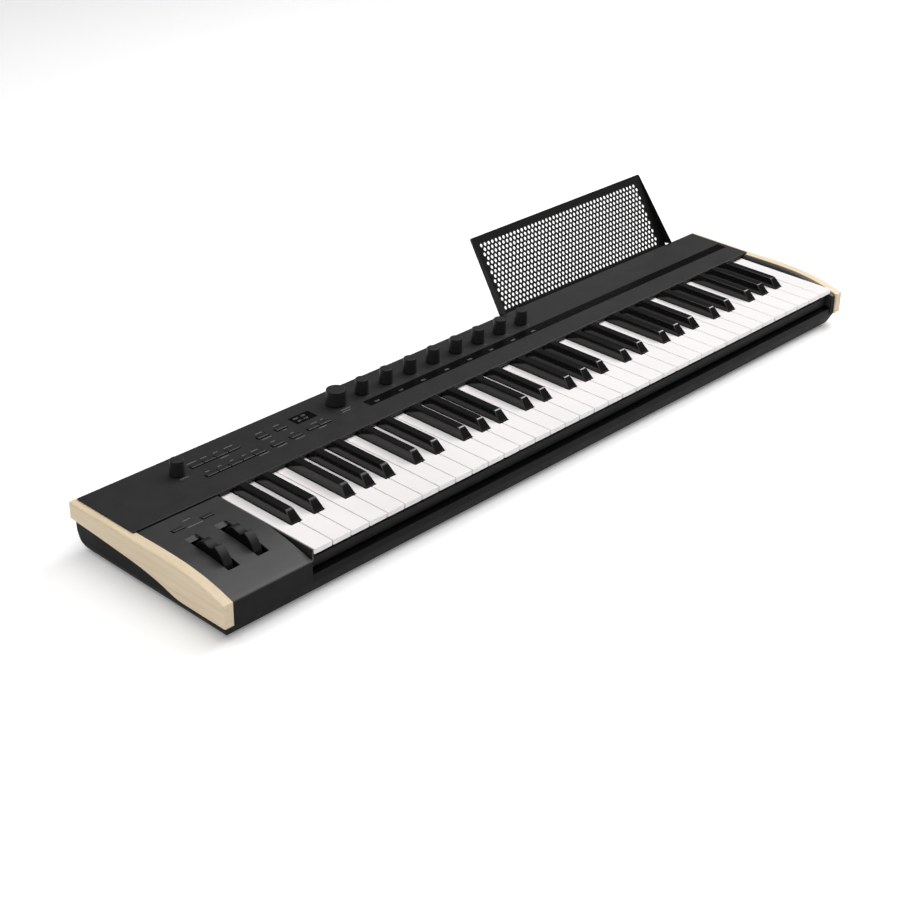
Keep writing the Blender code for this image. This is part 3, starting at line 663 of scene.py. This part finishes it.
def wheel(bm, cx):
    low, high = cx + WHEEL_SHIFT - WHEEL_W / 2, cx + WHEEL_SHIFT + WHEEL_W / 2
    faces = slab(bm, "X", wheel_rim(), low, high, 0.8, 0.8, 4)
    # The flat flanks and the axle stubs take the near-black copy: painted shade.
    faces[0].material_index = 1
    faces[1].material_index = 1
    for near, far in ((cx - PIN_END, low), (high, cx + PIN_END)):
        lathe(bm, WHEEL_Y, WHEEL_Z, [(0.0, near), (2.3, near), (2.3, far), (0.0, far)], 32, "X", 1)


for name, cx in WHEELS:
    piece(name + "_rubber", lambda bm, c=cx: wheel(bm, c), name, [WHEEL, WHEEL_FLANK_SHADE],
          [name])

# the low guard that closes the gap beside the lowest key
GUARD = fillet([(-5.2, -13.0, 0.0), (0.1, -13.0, 0.0), (0.1, -0.6, 0.3), (-1.2, -0.6, 0.3),
                (-1.2, -11.2, 0.0), (-5.2, -11.2, 0.0)], 3)
piece("bass_key_guard", lambda bm: slab(bm, "Y", GUARD, 1.0, 131.0), "case", [BLOCK])


# ---------------------------------------------------------------- white keys
def natural_outline(index, extra_last):
    """Plan of a white key in its octave, with the notches for the sharps beside it."""
    left = index * KEY_PITCH + KEY_GAP / 2
    right = (index + 1) * KEY_PITCH - KEY_GAP / 2
    a, b = left, right
    if not extra_last:
        for c in SHARP_CENTRES:
            if index * KEY_PITCH - 12.0 < c < index * KEY_PITCH + 10.0:
                a = max(a, c + SLOT_W / 2)
            if (index + 1) * KEY_PITCH - 10.0 < c < (index + 1) * KEY_PITCH + 12.0:
                b = min(b, c - SLOT_W / 2)
    shoulder = SHARP_FRONT - 1.0
    corners = [(left, 0.0, 0.9), (right, 0.0, 0.9)]
    if b < right - 0.5:
        corners += [(right, shoulder, 0.8), (b, shoulder, 0.8)]
    corners += [(b, KEY_REAR, 0.0), (a, KEY_REAR, 0.0)]
    if a > left + 0.5:
        corners += [(a, shoulder, 0.8), (left, shoulder, 0.8)]
    return corners, left, right, a, b


def natural_key(bm, start, index, extra_last):
    corners, left, right, a, b = natural_outline(index, extra_last)
    outline = [(x + start, y) for x, y in fillet(corners, 3)]
    slab(bm, "Z", outline, -WHITE_THICK, 0.0, 0.0, 0.55, 4)
    lip = fillet([(left + start, 0.0, 0.9), (right + start, 0.0, 0.9),
                  (right + start, 1.8, 0.0), (left + start, 1.8, 0.0)], 3)
    slab(bm, "Z", lip, -LIP_DEPTH, -WHITE_THICK, 0.35, 0.0, 3)
    side = [(134.5, -WHITE_THICK), (138.5, -8.8), (LEVER_END, -8.8), (LEVER_END, -5.3),
            (140.5, -5.3), (KEY_REAR, -WHITE_THICK)]
    slab(bm, "X", side, start + a + 0.6, start + b - 0.6)


for octave in range(5):
    body = "naturals_%d" % (octave + 1)
    for index in range(8 if octave == 4 else 7):
        number = octave * 7 + index + 1
        piece("white_key_%02d" % number,
              lambda bm, s=octave * OCTAVE, i=index: natural_key(bm, s, i, i == 7),
              body, [IVORY], [body] if index == 0 else ())

# ---------------------------------------------------------------- black keys
SHARP_LINE = curve(((SHARP_FRONT + 0.5, 1.2), (SHARP_FRONT + 2.1, 2.9), (SHARP_FRONT + 5.2, 6.3),
                    (SHARP_FRONT + 8.0, 9.3)), 2)[:-1]
SHARP_LINE += [(SHARP_FRONT + 8.4, 9.65), (SHARP_FRONT + 8.9, 10.0), (SHARP_FRONT + 9.6, 10.35),
               (SHARP_FRONT + 10.5, 10.6), (SHARP_FRONT + 11.6, SHARP_TOP), (90.0, SHARP_TOP),
               (123.0, SHARP_TOP), (124.6, 10.5), (126.2, 9.8), (128.0, 7.6), (131.2, 3.4)]
EDGE_STEPS = 5


def sharp_ring(bm, centre, y, z):
    """Cross-section of a black key: sloping flanks and rounded upper edges."""
    foot = SHARP_W_BASE / 2
    flare = 0.35 * max(0.0, 1.0 - max(z, 0.0) / 1.6) ** 2
    slope = (SHARP_W_TOP - SHARP_W_BASE) / 2 / SHARP_TOP
    radius = min(1.3, max(0.25, z * 0.16))
    right = [(foot + flare, -5.0), (foot + flare, min(0.0, z - 0.2))]
    top_half = foot + slope * z
    lean = math.atan(-slope)
    reach = radius * math.tan((math.pi / 2 - lean) / 2)
    centre_x, centre_z = top_half - reach, z - radius
    for k in range(EDGE_STEPS + 1):
        angle = lean + (math.pi / 2 - lean) * k / EDGE_STEPS
        right.append((centre_x + radius * math.cos(angle),
                      centre_z + radius * math.sin(angle)))
    outline = right + [(-x, h) for x, h in reversed(right)]
    return [bm.verts.new(place(centre + x, y, h)) for x, h in outline]


def sharp_key(bm, centre):
    rings = [sharp_ring(bm, centre, SHARP_FRONT + 0.15, 0.9)]
    rings += [sharp_ring(bm, centre, y, z) for y, z in SHARP_LINE]
    bm.faces.new(rings[0])
    bm.faces.new(rings[-1])
    for near, far in zip(rings, rings[1:]):
        for i in range(len(near)):
            j = (i + 1) % len(near)
            bm.faces.new((near[i], near[j], far[j], far[i]))
    lever = [(130.6, 3.0), (136.5, 3.0), (140.0, -2.2), (LEVER_END - 1.0, -2.2),
             (LEVER_END - 1.0, -4.5), (137.0, -4.5), (133.0, -4.9), (130.6, -4.9)]
    slab(bm, "X", lever, centre - 5.0, centre + 5.0)


for octave in range(5):
    body = "sharps_%d" % (octave + 1)
    for index, c in enumerate(SHARP_CENTRES):
        piece("black_key_%02d" % (octave * 5 + index + 1),
              lambda bm, x=octave * OCTAVE + c: sharp_key(bm, x),
              body, [EBONY], [body] if index == 0 else (), 62.0)


# ---------------------------------------------------------------- top plate
KNOBS = [("volume_knob", -8.3, 187.8, 7.7), ("value_knob", 204.2, 190.0, 11.2)]
KNOBS += [("knob_%d" % (i + 1), KNOB_X0 + KNOB_PITCH * i, 189.0, 7.6) for i in range(8)]
PANEL_BUTTONS = [("button_a%d" % (i + 1), 16.9 + 15.5 * i, 189.2, 15.0) for i in range(4)]
PANEL_BUTTONS += [("button_b%d" % (i + 1), 17.0 + 15.2 * i, 165.8, 14.7) for i in range(5)]
PANEL_BUTTONS += [("button_c1", 102.0, 189.4, 14.4), ("button_c2", 126.4, 189.4, 14.4),
                  ("button_d1", 102.0, 166.6, 14.4), ("button_d2", 126.6, 166.6, 14.4),
                  ("button_e1", 151.0, 167.4, 14.9), ("button_e2", 166.4, 167.4, 14.9)]
DISPLAY = (144.4, 172.2, 183.2, 199.4)
STRIP = (227.0, 850.0, 160.4, 173.4)


def key_slots():
    """Room in the front flange for the backs of the black keys."""
    for x in [octave * OCTAVE + c for octave in range(5) for c in SHARP_CENTRES]:
        outline = rounded_box_outline(x - SLOT_W / 2, x + SLOT_W / 2, 128.0, 135.0, 0.5)
        yield lambda bm, o=outline: slab(bm, "Z", o, -3.0, PLATE_TOP - PLATE_THICK)


def plate_openings():
    """Openings for the buttons, the two windows and the knob shafts."""
    groups = [(9.1, 71.2, 189.2), (9.35, 85.45, 165.8), (143.25, 174.15, 167.4)]
    groups += [(x - 7.5, x + 7.5, y) for n, x, y, w in PANEL_BUTTONS if n[7] in "cd"]
    outlines = [rounded_box_outline(x0 - 0.2, x1 + 0.2, y - 3.5, y + 3.5, 0.6)
                for x0, x1, y in groups]
    outlines += [rounded_box_outline(*edges, 0.5) for edges in (DISPLAY, STRIP)]
    for outline in outlines:
        yield lambda bm, o=outline: slab(bm, "Z", o, -3.0, 12.0)
    for name, x, y, radius in KNOBS:
        hole = 5.0 if radius > 8.0 else 4.0
        line = [(0.0, -3.0), (hole, -3.0), (hole, 12.0), (0.0, 12.0)]
        yield lambda bm, a=x, b=y, o=line: lathe(bm, a, b, o, 32)


def plate_shape(bm):
    outline = rounded_box_outline(PLATE_X0, PLATE_X1, PLATE_Y0, PLATE_Y1, 0.8)
    slab(bm, "Z", outline, PLATE_TOP - PLATE_THICK, PLATE_TOP, 0.0, 0.7, 4)


def plate_edge(edge):
    """The upper edges of the openings."""
    inside = all(PLATE_Y0 + 4.0 < key_y(v.co) < PLATE_Y1 - 4.0 for v in edge.verts)
    return inside and all(key_z(v.co) > PLATE_TOP - 0.01 for v in edge.verts)


def plate_flange(bm):
    edge = [(131.7, 2.4), (133.2, 2.4), (133.2, PLATE_TOP - 0.6), (132.4, PLATE_TOP - 0.6),
            (131.7, 4.4)]
    slab(bm, "X", edge, -1.2, KEY_WIDTH + 1.0)


plate_mesh = carve("top_plate_pressing", plate_shape, plate_openings())
bevel_mesh(plate_mesh, 0.3, plate_edge, 2)
finish_piece("top_plate_pressing", plate_mesh, "case", [PANEL],
             ["top_plate"], 40.0)
flange_mesh = carve("top_plate_flange", plate_flange, key_slots())
finish_piece("top_plate_flange", flange_mesh, "case", [PANEL], (), 40.0)


# ---------------------------------------------------------------- knobs
def knob_line(radius):
    edge = 0.75
    line = [(0.0, KNOB_TOP), (radius * 0.5, KNOB_TOP)]
    for k in range(6):
        turn = math.radians(90.0 - 18.0 * k)
        line.append((radius - 0.7 - edge + edge * math.cos(turn),
                     KNOB_TOP - edge + edge * math.sin(turn)))
    line += [(radius - 0.3, 14.0), (radius, 7.4), (radius - 0.1, 6.75), (radius - 0.45, KNOB_BASE)]
    line += [(2.9, KNOB_BASE), (2.9, 3.3), (0.0, 3.3)]
    return line


for name, cx, cy, radius in KNOBS:
    piece(name + "_cap", lambda bm, x=cx, y=cy, r=radius: lathe(bm, x, y, knob_line(r), 72),
          name, [KNOB], [name])


# ---------------------------------------------------------------- buttons
def button_cap(bm, cx, cy, width, depth, surface, bottom):
    """A low cap whose top tilts up towards the player, with softened edges."""
    half = depth / 2 - 0.2
    width = width - 0.5
    side = fillet([(cy - half, bottom, 0.0), (cy + half, bottom, 0.0),
                   (cy + half, surface + 0.3, 0.35), (cy - half + 0.9, surface + 1.3, 0.5),
                   (cy - half, surface + 0.8, 0.3)], 3)
    slab(bm, "X", side, cx - width / 2, cx + width / 2, 0.4, 0.4, 3)
    # The upright sides take the dark copy: painted shade in the gap round each cap.
    bm.normal_update()
    for face in bm.faces:
        if abs(face.normal.z) < 0.4:
            face.material_index = 1


for name, cx, cy, width in PANEL_BUTTONS:
    piece(name + "_cap",
          lambda bm, x=cx, y=cy, w=width: button_cap(bm, x, y, w, 6.0, PLATE_TOP, 1.5),
          name, [BUTTON, BUTTON_SIDE_SHADE], [name])
for name, cx, cy, width in BLOCK_BUTTONS:
    top = height_at(BLOCK_TOP, cy)
    piece(name + "_cap",
          lambda bm, x=cx, y=cy, w=width, t=top: button_cap(bm, x, y, w, 5.4, t, t - 5.5),
          name, [BUTTON, BUTTON_SIDE_SHADE], [name])


# ---------------------------------------------------------------- music stand
HOLE_PITCH, ROW_PITCH, HOLE_R, HOLE_SIDES = 6.4, 5.54, 2.25, 14
HOLE_MARGIN, TOP_BORDER = 10.8, 9.6


def stand_point(x, s, off):
    """A place on the leaning sheet: s up the sheet, off towards the player."""
    return place(x, STAND_Y + s * math.sin(STAND_TILT) - off * math.cos(STAND_TILT),
                 STAND_Z + s * math.cos(STAND_TILT) + off * math.sin(STAND_TILT))


def hole_centres():
    wide = STAND_X1 - STAND_X0
    s, row = STAND_LEN - TOP_BORDER - HOLE_R, 0
    while s > HOLE_R + 2.5:
        x = HOLE_MARGIN + HOLE_R + (HOLE_PITCH / 2 if row % 2 else 0.0)
        while x < wide - HOLE_MARGIN - HOLE_R + 0.5:
            yield x, s
            x += HOLE_PITCH
        s -= ROW_PITCH
        row += 1


def stand_sheet(bm):
    wide = STAND_X1 - STAND_X0
    loops = [fillet([(0.0, 0.0, 0.0), (wide, 0.0, 0.0), (wide, STAND_LEN, 2.2),
                     (0.0, STAND_LEN, 2.2)], 5)]
    turns = [2 * math.pi * k / HOLE_SIDES for k in range(HOLE_SIDES)]
    for cx, cs in hole_centres():
        loops.append([(cx + HOLE_R * math.cos(t), cs + HOLE_R * math.sin(t)) for t in turns])
    points, edges = [], []
    for loop in loops:
        base = len(points)
        points += [Vector(p) for p in loop]
        edges += [(base + k, base + (k + 1) % len(loop)) for k in range(len(loop))]
    verts, _, faces = delaunay_2d_cdt(points, edges, [], 1, 1e-6)[:3]
    buckets = {}
    for c in (Vector(centre) for centre in hole_centres()):
        buckets.setdefault((int(c.x // HOLE_PITCH), int(c.y // HOLE_PITCH)), []).append(c)
    front = [bm.verts.new(stand_point(STAND_X0 + v.x, v.y, STAND_T / 2)) for v in verts]
    back = [bm.verts.new(stand_point(STAND_X0 + v.x, v.y, -STAND_T / 2)) for v in verts]
    used = {}
    for face in faces:
        mid = sum((verts[i] for i in face), Vector((0.0, 0.0))) / len(face)
        column, row = int(mid.x // HOLE_PITCH), int(mid.y // HOLE_PITCH)
        near = [c for dx in (-1, 0, 1) for dy in (-1, 0, 1)
                for c in buckets.get((column + dx, row + dy), [])]
        if any((mid - c).length < HOLE_R * 0.97 for c in near):
            continue
        bm.faces.new([front[i] for i in face])
        bm.faces.new([back[i] for i in reversed(face)])
        used.update(dict.fromkeys(zip(face, list(face[1:]) + [face[0]])))
    for i, j in used:
        if (j, i) not in used:
            bm.faces.new((front[j], front[i], back[i], back[j]))
    bmesh.ops.delete(bm, geom=[v for v in bm.verts if not v.link_faces], context="VERTS")


def side_point(s, off):
    p = stand_point(0.0, s, off)
    return key_y(p), key_z(p)


def stand_extras(bm):
    half = STAND_T / 2
    corners = [(*side_point(3.4, half), 0.0), (*side_point(STAND_LEN - 2.4, half), 0.0),
               (*side_point(STAND_LEN - 3.2, half + 0.6), 0.3), (*side_point(-1.4, 12.2), 1.8)]
    flange = fillet(corners, 5)
    slab(bm, "X", flange, STAND_X0 + 0.02, STAND_X0 + STAND_T, 0.25, 0.25, 3)
    slab(bm, "X", flange, STAND_X1 - STAND_T, STAND_X1 - 0.02, 0.25, 0.25, 3)
    for x0, x1 in ((530.0, 570.0), (731.0, 771.0)):
        tongue = fillet([(x0, STAND_Z - 0.3, 0.0), (x0, TONGUE_BOTTOM, 2.5),
                         (x1, TONGUE_BOTTOM, 2.5), (x1, STAND_Z - 0.3, 0.0)], 5)
        slab(bm, "Y", tongue, STAND_Y - half, STAND_Y + half)


piece("stand_perforated_sheet", stand_sheet, "music_stand", [STEEL],
      ["music_stand"], 30.0)
piece("stand_flanges", stand_extras, "music_stand", [STEEL], (), 35.0)


# ---------------------------------------------------------------- printed marks, display figures
PRINT_T = 0.05
CAPTION_H = 1.1


def dashes(bm, x0, x1, y, z, seed):
    """A short printed caption, drawn only as a run of small blocks."""
    x = x0
    k = seed
    low, high = y - CAPTION_H / 2, y + CAPTION_H / 2
    while x < x1 - 0.4:
        width = (1.5, 1.0, 1.7, 1.2, 0.8, 1.4)[k % 6]
        end = min(x + width, x1)
        slab(bm, "Z", [(x, low), (end, low), (end, high), (x, high)], z, z + PRINT_T)
        x = end + 0.35
        k += 1


CAPTIONS = [(10.4, 22.6, 196.6), (27.6, 35.0, 196.6), (43.6, 49.4, 196.6), (57.6, 69.0, 196.6),
            (42.4, 52.8, 183.2),
            (14.6, 19.0, 172.6), (30.2, 34.2, 172.6), (45.6, 49.8, 172.6), (61.0, 65.2, 172.6),
            (72.6, 81.0, 172.6), (73.6, 86.0, 160.4),
            (99.6, 108.2, 197.2), (97.0, 109.2, 183.6), (123.4, 130.6, 197.2),
            (125.6, 129.8, 184.0), (99.4, 105.0, 173.8), (97.6, 110.2, 160.8),
            (125.8, 130.2, 173.8), (121.6, 134.0, 160.6),
            (154.6, 162.8, 174.4), (167.6, 171.0, 174.6), (155.0, 165.2, 161.8),
            (-12.6, -1.6, 177.6), (196.8, 210.2, 174.4), (195.4, 207.0, 170.4)]


def panel_print(bm):
    for k, (x0, x1, y) in enumerate(CAPTIONS):
        dashes(bm, x0, x1, y, PLATE_TOP, k)


def block_print(bm):
    for x0, x1, y, seed in ((-58.0, -49.0, 117.6, 1), (-61.5, -43.5, 105.3, 4)):
        dashes(bm, x0, x1, y, height_at(BLOCK_TOP, y) + 0.01, seed)


piece("panel_captions", panel_print, "case", [PRINT])
piece("block_captions", block_print, "case", [PRINT])


def number_text(name, text, x, y, z, size, mat):
    """Figures printed flat on the panel."""
    words = bpy.data.curves.new(name, "FONT")
    words.body = text
    words.size = size * MM
    words.extrude = PRINT_T / 2 * MM
    words.align_x = "CENTER"
    words.align_y = "CENTER"
    maker = bpy.data.objects.new(name, words)
    bpy.context.scene.collection.objects.link(maker)
    mesh = evaluated_mesh(maker)
    bpy.data.objects.remove(maker, do_unlink=True)
    mesh.materials.clear()
    mesh.transform(Matrix.Translation(place(x, y, z + PRINT_T / 2)))
    finish_piece(name, mesh, "case", [mat])


WINDOW_TOP = PLATE_TOP - 0.15
for k in range(8):
    number_text("figure_%d" % (k + 1), str(k + 1), KNOB_X0 + 1.8 + KNOB_PITCH * k, 178.3, PLATE_TOP,
                3.4, PRINT)
READINGS = ((240.2, "064"), (275.4, "127"), (309.4, "032"), (345.7, "096"), (382.2, "000"),
            (416.3, "100"), (453.0, "048"), (487.1, "080"))
for k, (x, text) in enumerate(READINGS):
    number_text("reading_%d" % (k + 1), text, x, 164.8, WINDOW_TOP, 4.2, LIT)
number_text("display_line_1", "001  120", 156.6, 194.6, WINDOW_TOP, 4.4, LIT)
number_text("display_line_2", "64 : 127", 156.6, 188.4, WINDOW_TOP, 4.4, LIT)


# ---------------------------------------------------------------- rear sockets, screws
def ring_points(x, radius, count, first):
    """Places round a phone socket, by equal turns from a first angle in degrees."""
    turns = [math.radians(360.0 / count * k + first) for k in range(count)]
    return [(x + radius * math.cos(t), JACK_Z + radius * math.sin(t)) for t in turns]


def phone_nut(bm, x):
    """A hexagon nut: six flats outside, a round bore of 36 steps inside."""
    walls = []
    for outline in (ring_points(x, 6.2, 6, 30.0), ring_points(x, 5.1, 36, 0.0)):
        near, far = ([bm.verts.new(place(a, y, b)) for a, b in outline] for y in (216.15, 218.2))
        walls.append((near, far))
        for i in range(len(near)):
            j = (i + 1) % len(near)
            bm.faces.new((near[i], near[j], far[j], far[i]))
    for outer, bore in zip(*walls):
        for i in range(6):
            arc = [bore[(6 * i + 3 + k) % 36] for k in range(7)]
            bm.faces.new([outer[i], outer[(i + 1) % 6]] + arc[::-1])


for label, x in JACKS:
    piece(label + "_nut", lambda bm, a=x: phone_nut(bm, a), "case", [NICKEL])


def base_screws(bm):
    """Low pan heads under the base."""
    top, radius = BASE_Z - 0.05, 3.2
    head = [(0.0, top), (radius * 0.95, top), (radius, top - 0.5), (radius * 0.82, top - 1.3),
            (radius * 0.45, top - 1.65), (0.0, top - 1.7)]
    for x in (-60.0, 82.25, 246.75, 411.25, 575.75, 740.25, 812.0):
        for y in (40.0, 120.0, 180.0):
            lathe(bm, x, y, head, 28)


piece("base_screws", base_screws, "case", [BLACK_SCREW])


def rear_screws(bm):
    head = [(0.0, 216.05), (2.1, 216.05), (2.1, 216.4), (1.6, 216.9), (0.0, 217.05)]
    for x in (600.0, 742.0):
        lathe(bm, x, -20.0, head, 24, "Y")


piece("rear_screws", rear_screws, "case", [BLACK_SCREW])
PORT = rounded_box_outline(690.2, 695.8, 209.0, 216.5, 0.4)
piece("port_tongue", lambda bm: slab(bm, "Z", PORT, -16.4, -15.6, 0.15, 0.15, 2), "case", [GOLD])

# ---------------------------------------------------------------- floor, light and camera
FLOOR_HALF = 9.0
floor_mesh = bpy.data.meshes.new("floor")
floor_mesh.from_pydata([(a * FLOOR_HALF, b * FLOOR_HALF, 0.0)
                        for a, b in ((-1, -1), (1, -1), (1, 1), (-1, 1))], [], [(0, 1, 2, 3)])
floor = bpy.data.objects.new("floor", floor_mesh)
bpy.context.scene.collection.objects.link(floor)
paper = Look("pale_paper", (0.92, 0.92, 0.92), 0.9)
paper.set("Base Color", paper.ramp(paper.noise(400.0, 2.0), [(0.3, (0.915, 0.915, 0.915)),
                                                             (0.7, (0.925, 0.925, 0.925))]))
paper.shader.inputs["Specular IOR Level"].default_value = 0.1
paper.shader.inputs["Emission Color"].default_value = (1.0, 1.0, 1.0, 1.0)
paper.shader.inputs["Emission Strength"].default_value = 0.20
floor_mesh.materials.append(paper.mat)


def soft_light(name, where, target, width, height, power):
    light = bpy.data.lights.new(name, "AREA")
    light.shape = "RECTANGLE"
    light.size, light.size_y = width, height
    light.energy = power
    obj = bpy.data.objects.new(name, light)
    bpy.context.scene.collection.objects.link(obj)
    obj.location = where
    obj.rotation_mode = "QUATERNION"
    obj.rotation_quaternion = (Vector(target) - Vector(where)).to_track_quat("-Z", "Y")


soft_light("overhead", (0.0, -0.1, 2.4), (0.0, 0.0, 0.0), 4.4, 3.2, 80.0)
soft_light("right_box", (1.75, -0.05, 1.75), (0.1, 0.0, 0.0), 1.1, 0.9, 26.0)
soft_light("left_fill", (-2.4, -0.2, 0.9), (-0.3, 0.0, 0.0), 1.6, 0.8, 7.0)

world = bpy.data.worlds.new("studio")
bpy.context.scene.world = world
world.use_nodes = True
sky = world.node_tree
dim = sky.nodes["Background"]
dim.inputs["Color"].default_value = (1.0, 1.0, 1.0, 1.0)
dim.inputs["Strength"].default_value = 0.07
white = sky.nodes.new("ShaderNodeBackground")
white.inputs["Color"].default_value = (1.0, 1.0, 1.0, 1.0)
seen = sky.nodes.new("ShaderNodeLightPath").outputs["Is Camera Ray"]
choice = sky.nodes.new("ShaderNodeMixShader")
sky.links.new(seen, choice.inputs["Fac"])
sky.links.new(dim.outputs["Background"], choice.inputs[1])
sky.links.new(white.outputs["Background"], choice.inputs[2])
sky.links.new(choice.outputs["Shader"], sky.nodes["World Output"].inputs["Surface"])

CAM_FOCAL_PX, CAM_YAW, CAM_PITCH, CAM_ROLL = 1801.66, 46.5682, 28.8699, 1.0019
CAM_PLACE = (-1.306608, -1.184863, 0.926981)
PICTURE_PX, SENSOR_MM = 900.0, 36.0
camera_data = bpy.data.cameras.new("camera")
camera = bpy.data.objects.new("camera", camera_data)
bpy.context.scene.collection.objects.link(camera)
camera_data.sensor_width = SENSOR_MM
camera_data.lens = CAM_FOCAL_PX / PICTURE_PX * SENSOR_MM
camera_data.clip_start, camera_data.clip_end = 0.05, 50.0
yaw, pitch, roll = (math.radians(v) for v in (CAM_YAW, CAM_PITCH, CAM_ROLL))
ahead = Vector((math.sin(yaw) * math.cos(pitch), math.cos(yaw) * math.cos(pitch), -math.sin(pitch)))
level = Vector((math.cos(yaw), -math.sin(yaw), 0.0))
upward = level.cross(ahead)
right = level * math.cos(roll) + upward * math.sin(roll)
upright = upward * math.cos(roll) - level * math.sin(roll)
turned = Matrix((right, upright, -ahead)).transposed().to_4x4()
camera.matrix_world = Matrix.Translation(CAM_PLACE) @ turned
bpy.context.scene.camera = camera
bpy.context.scene.view_settings.view_transform = "Standard"
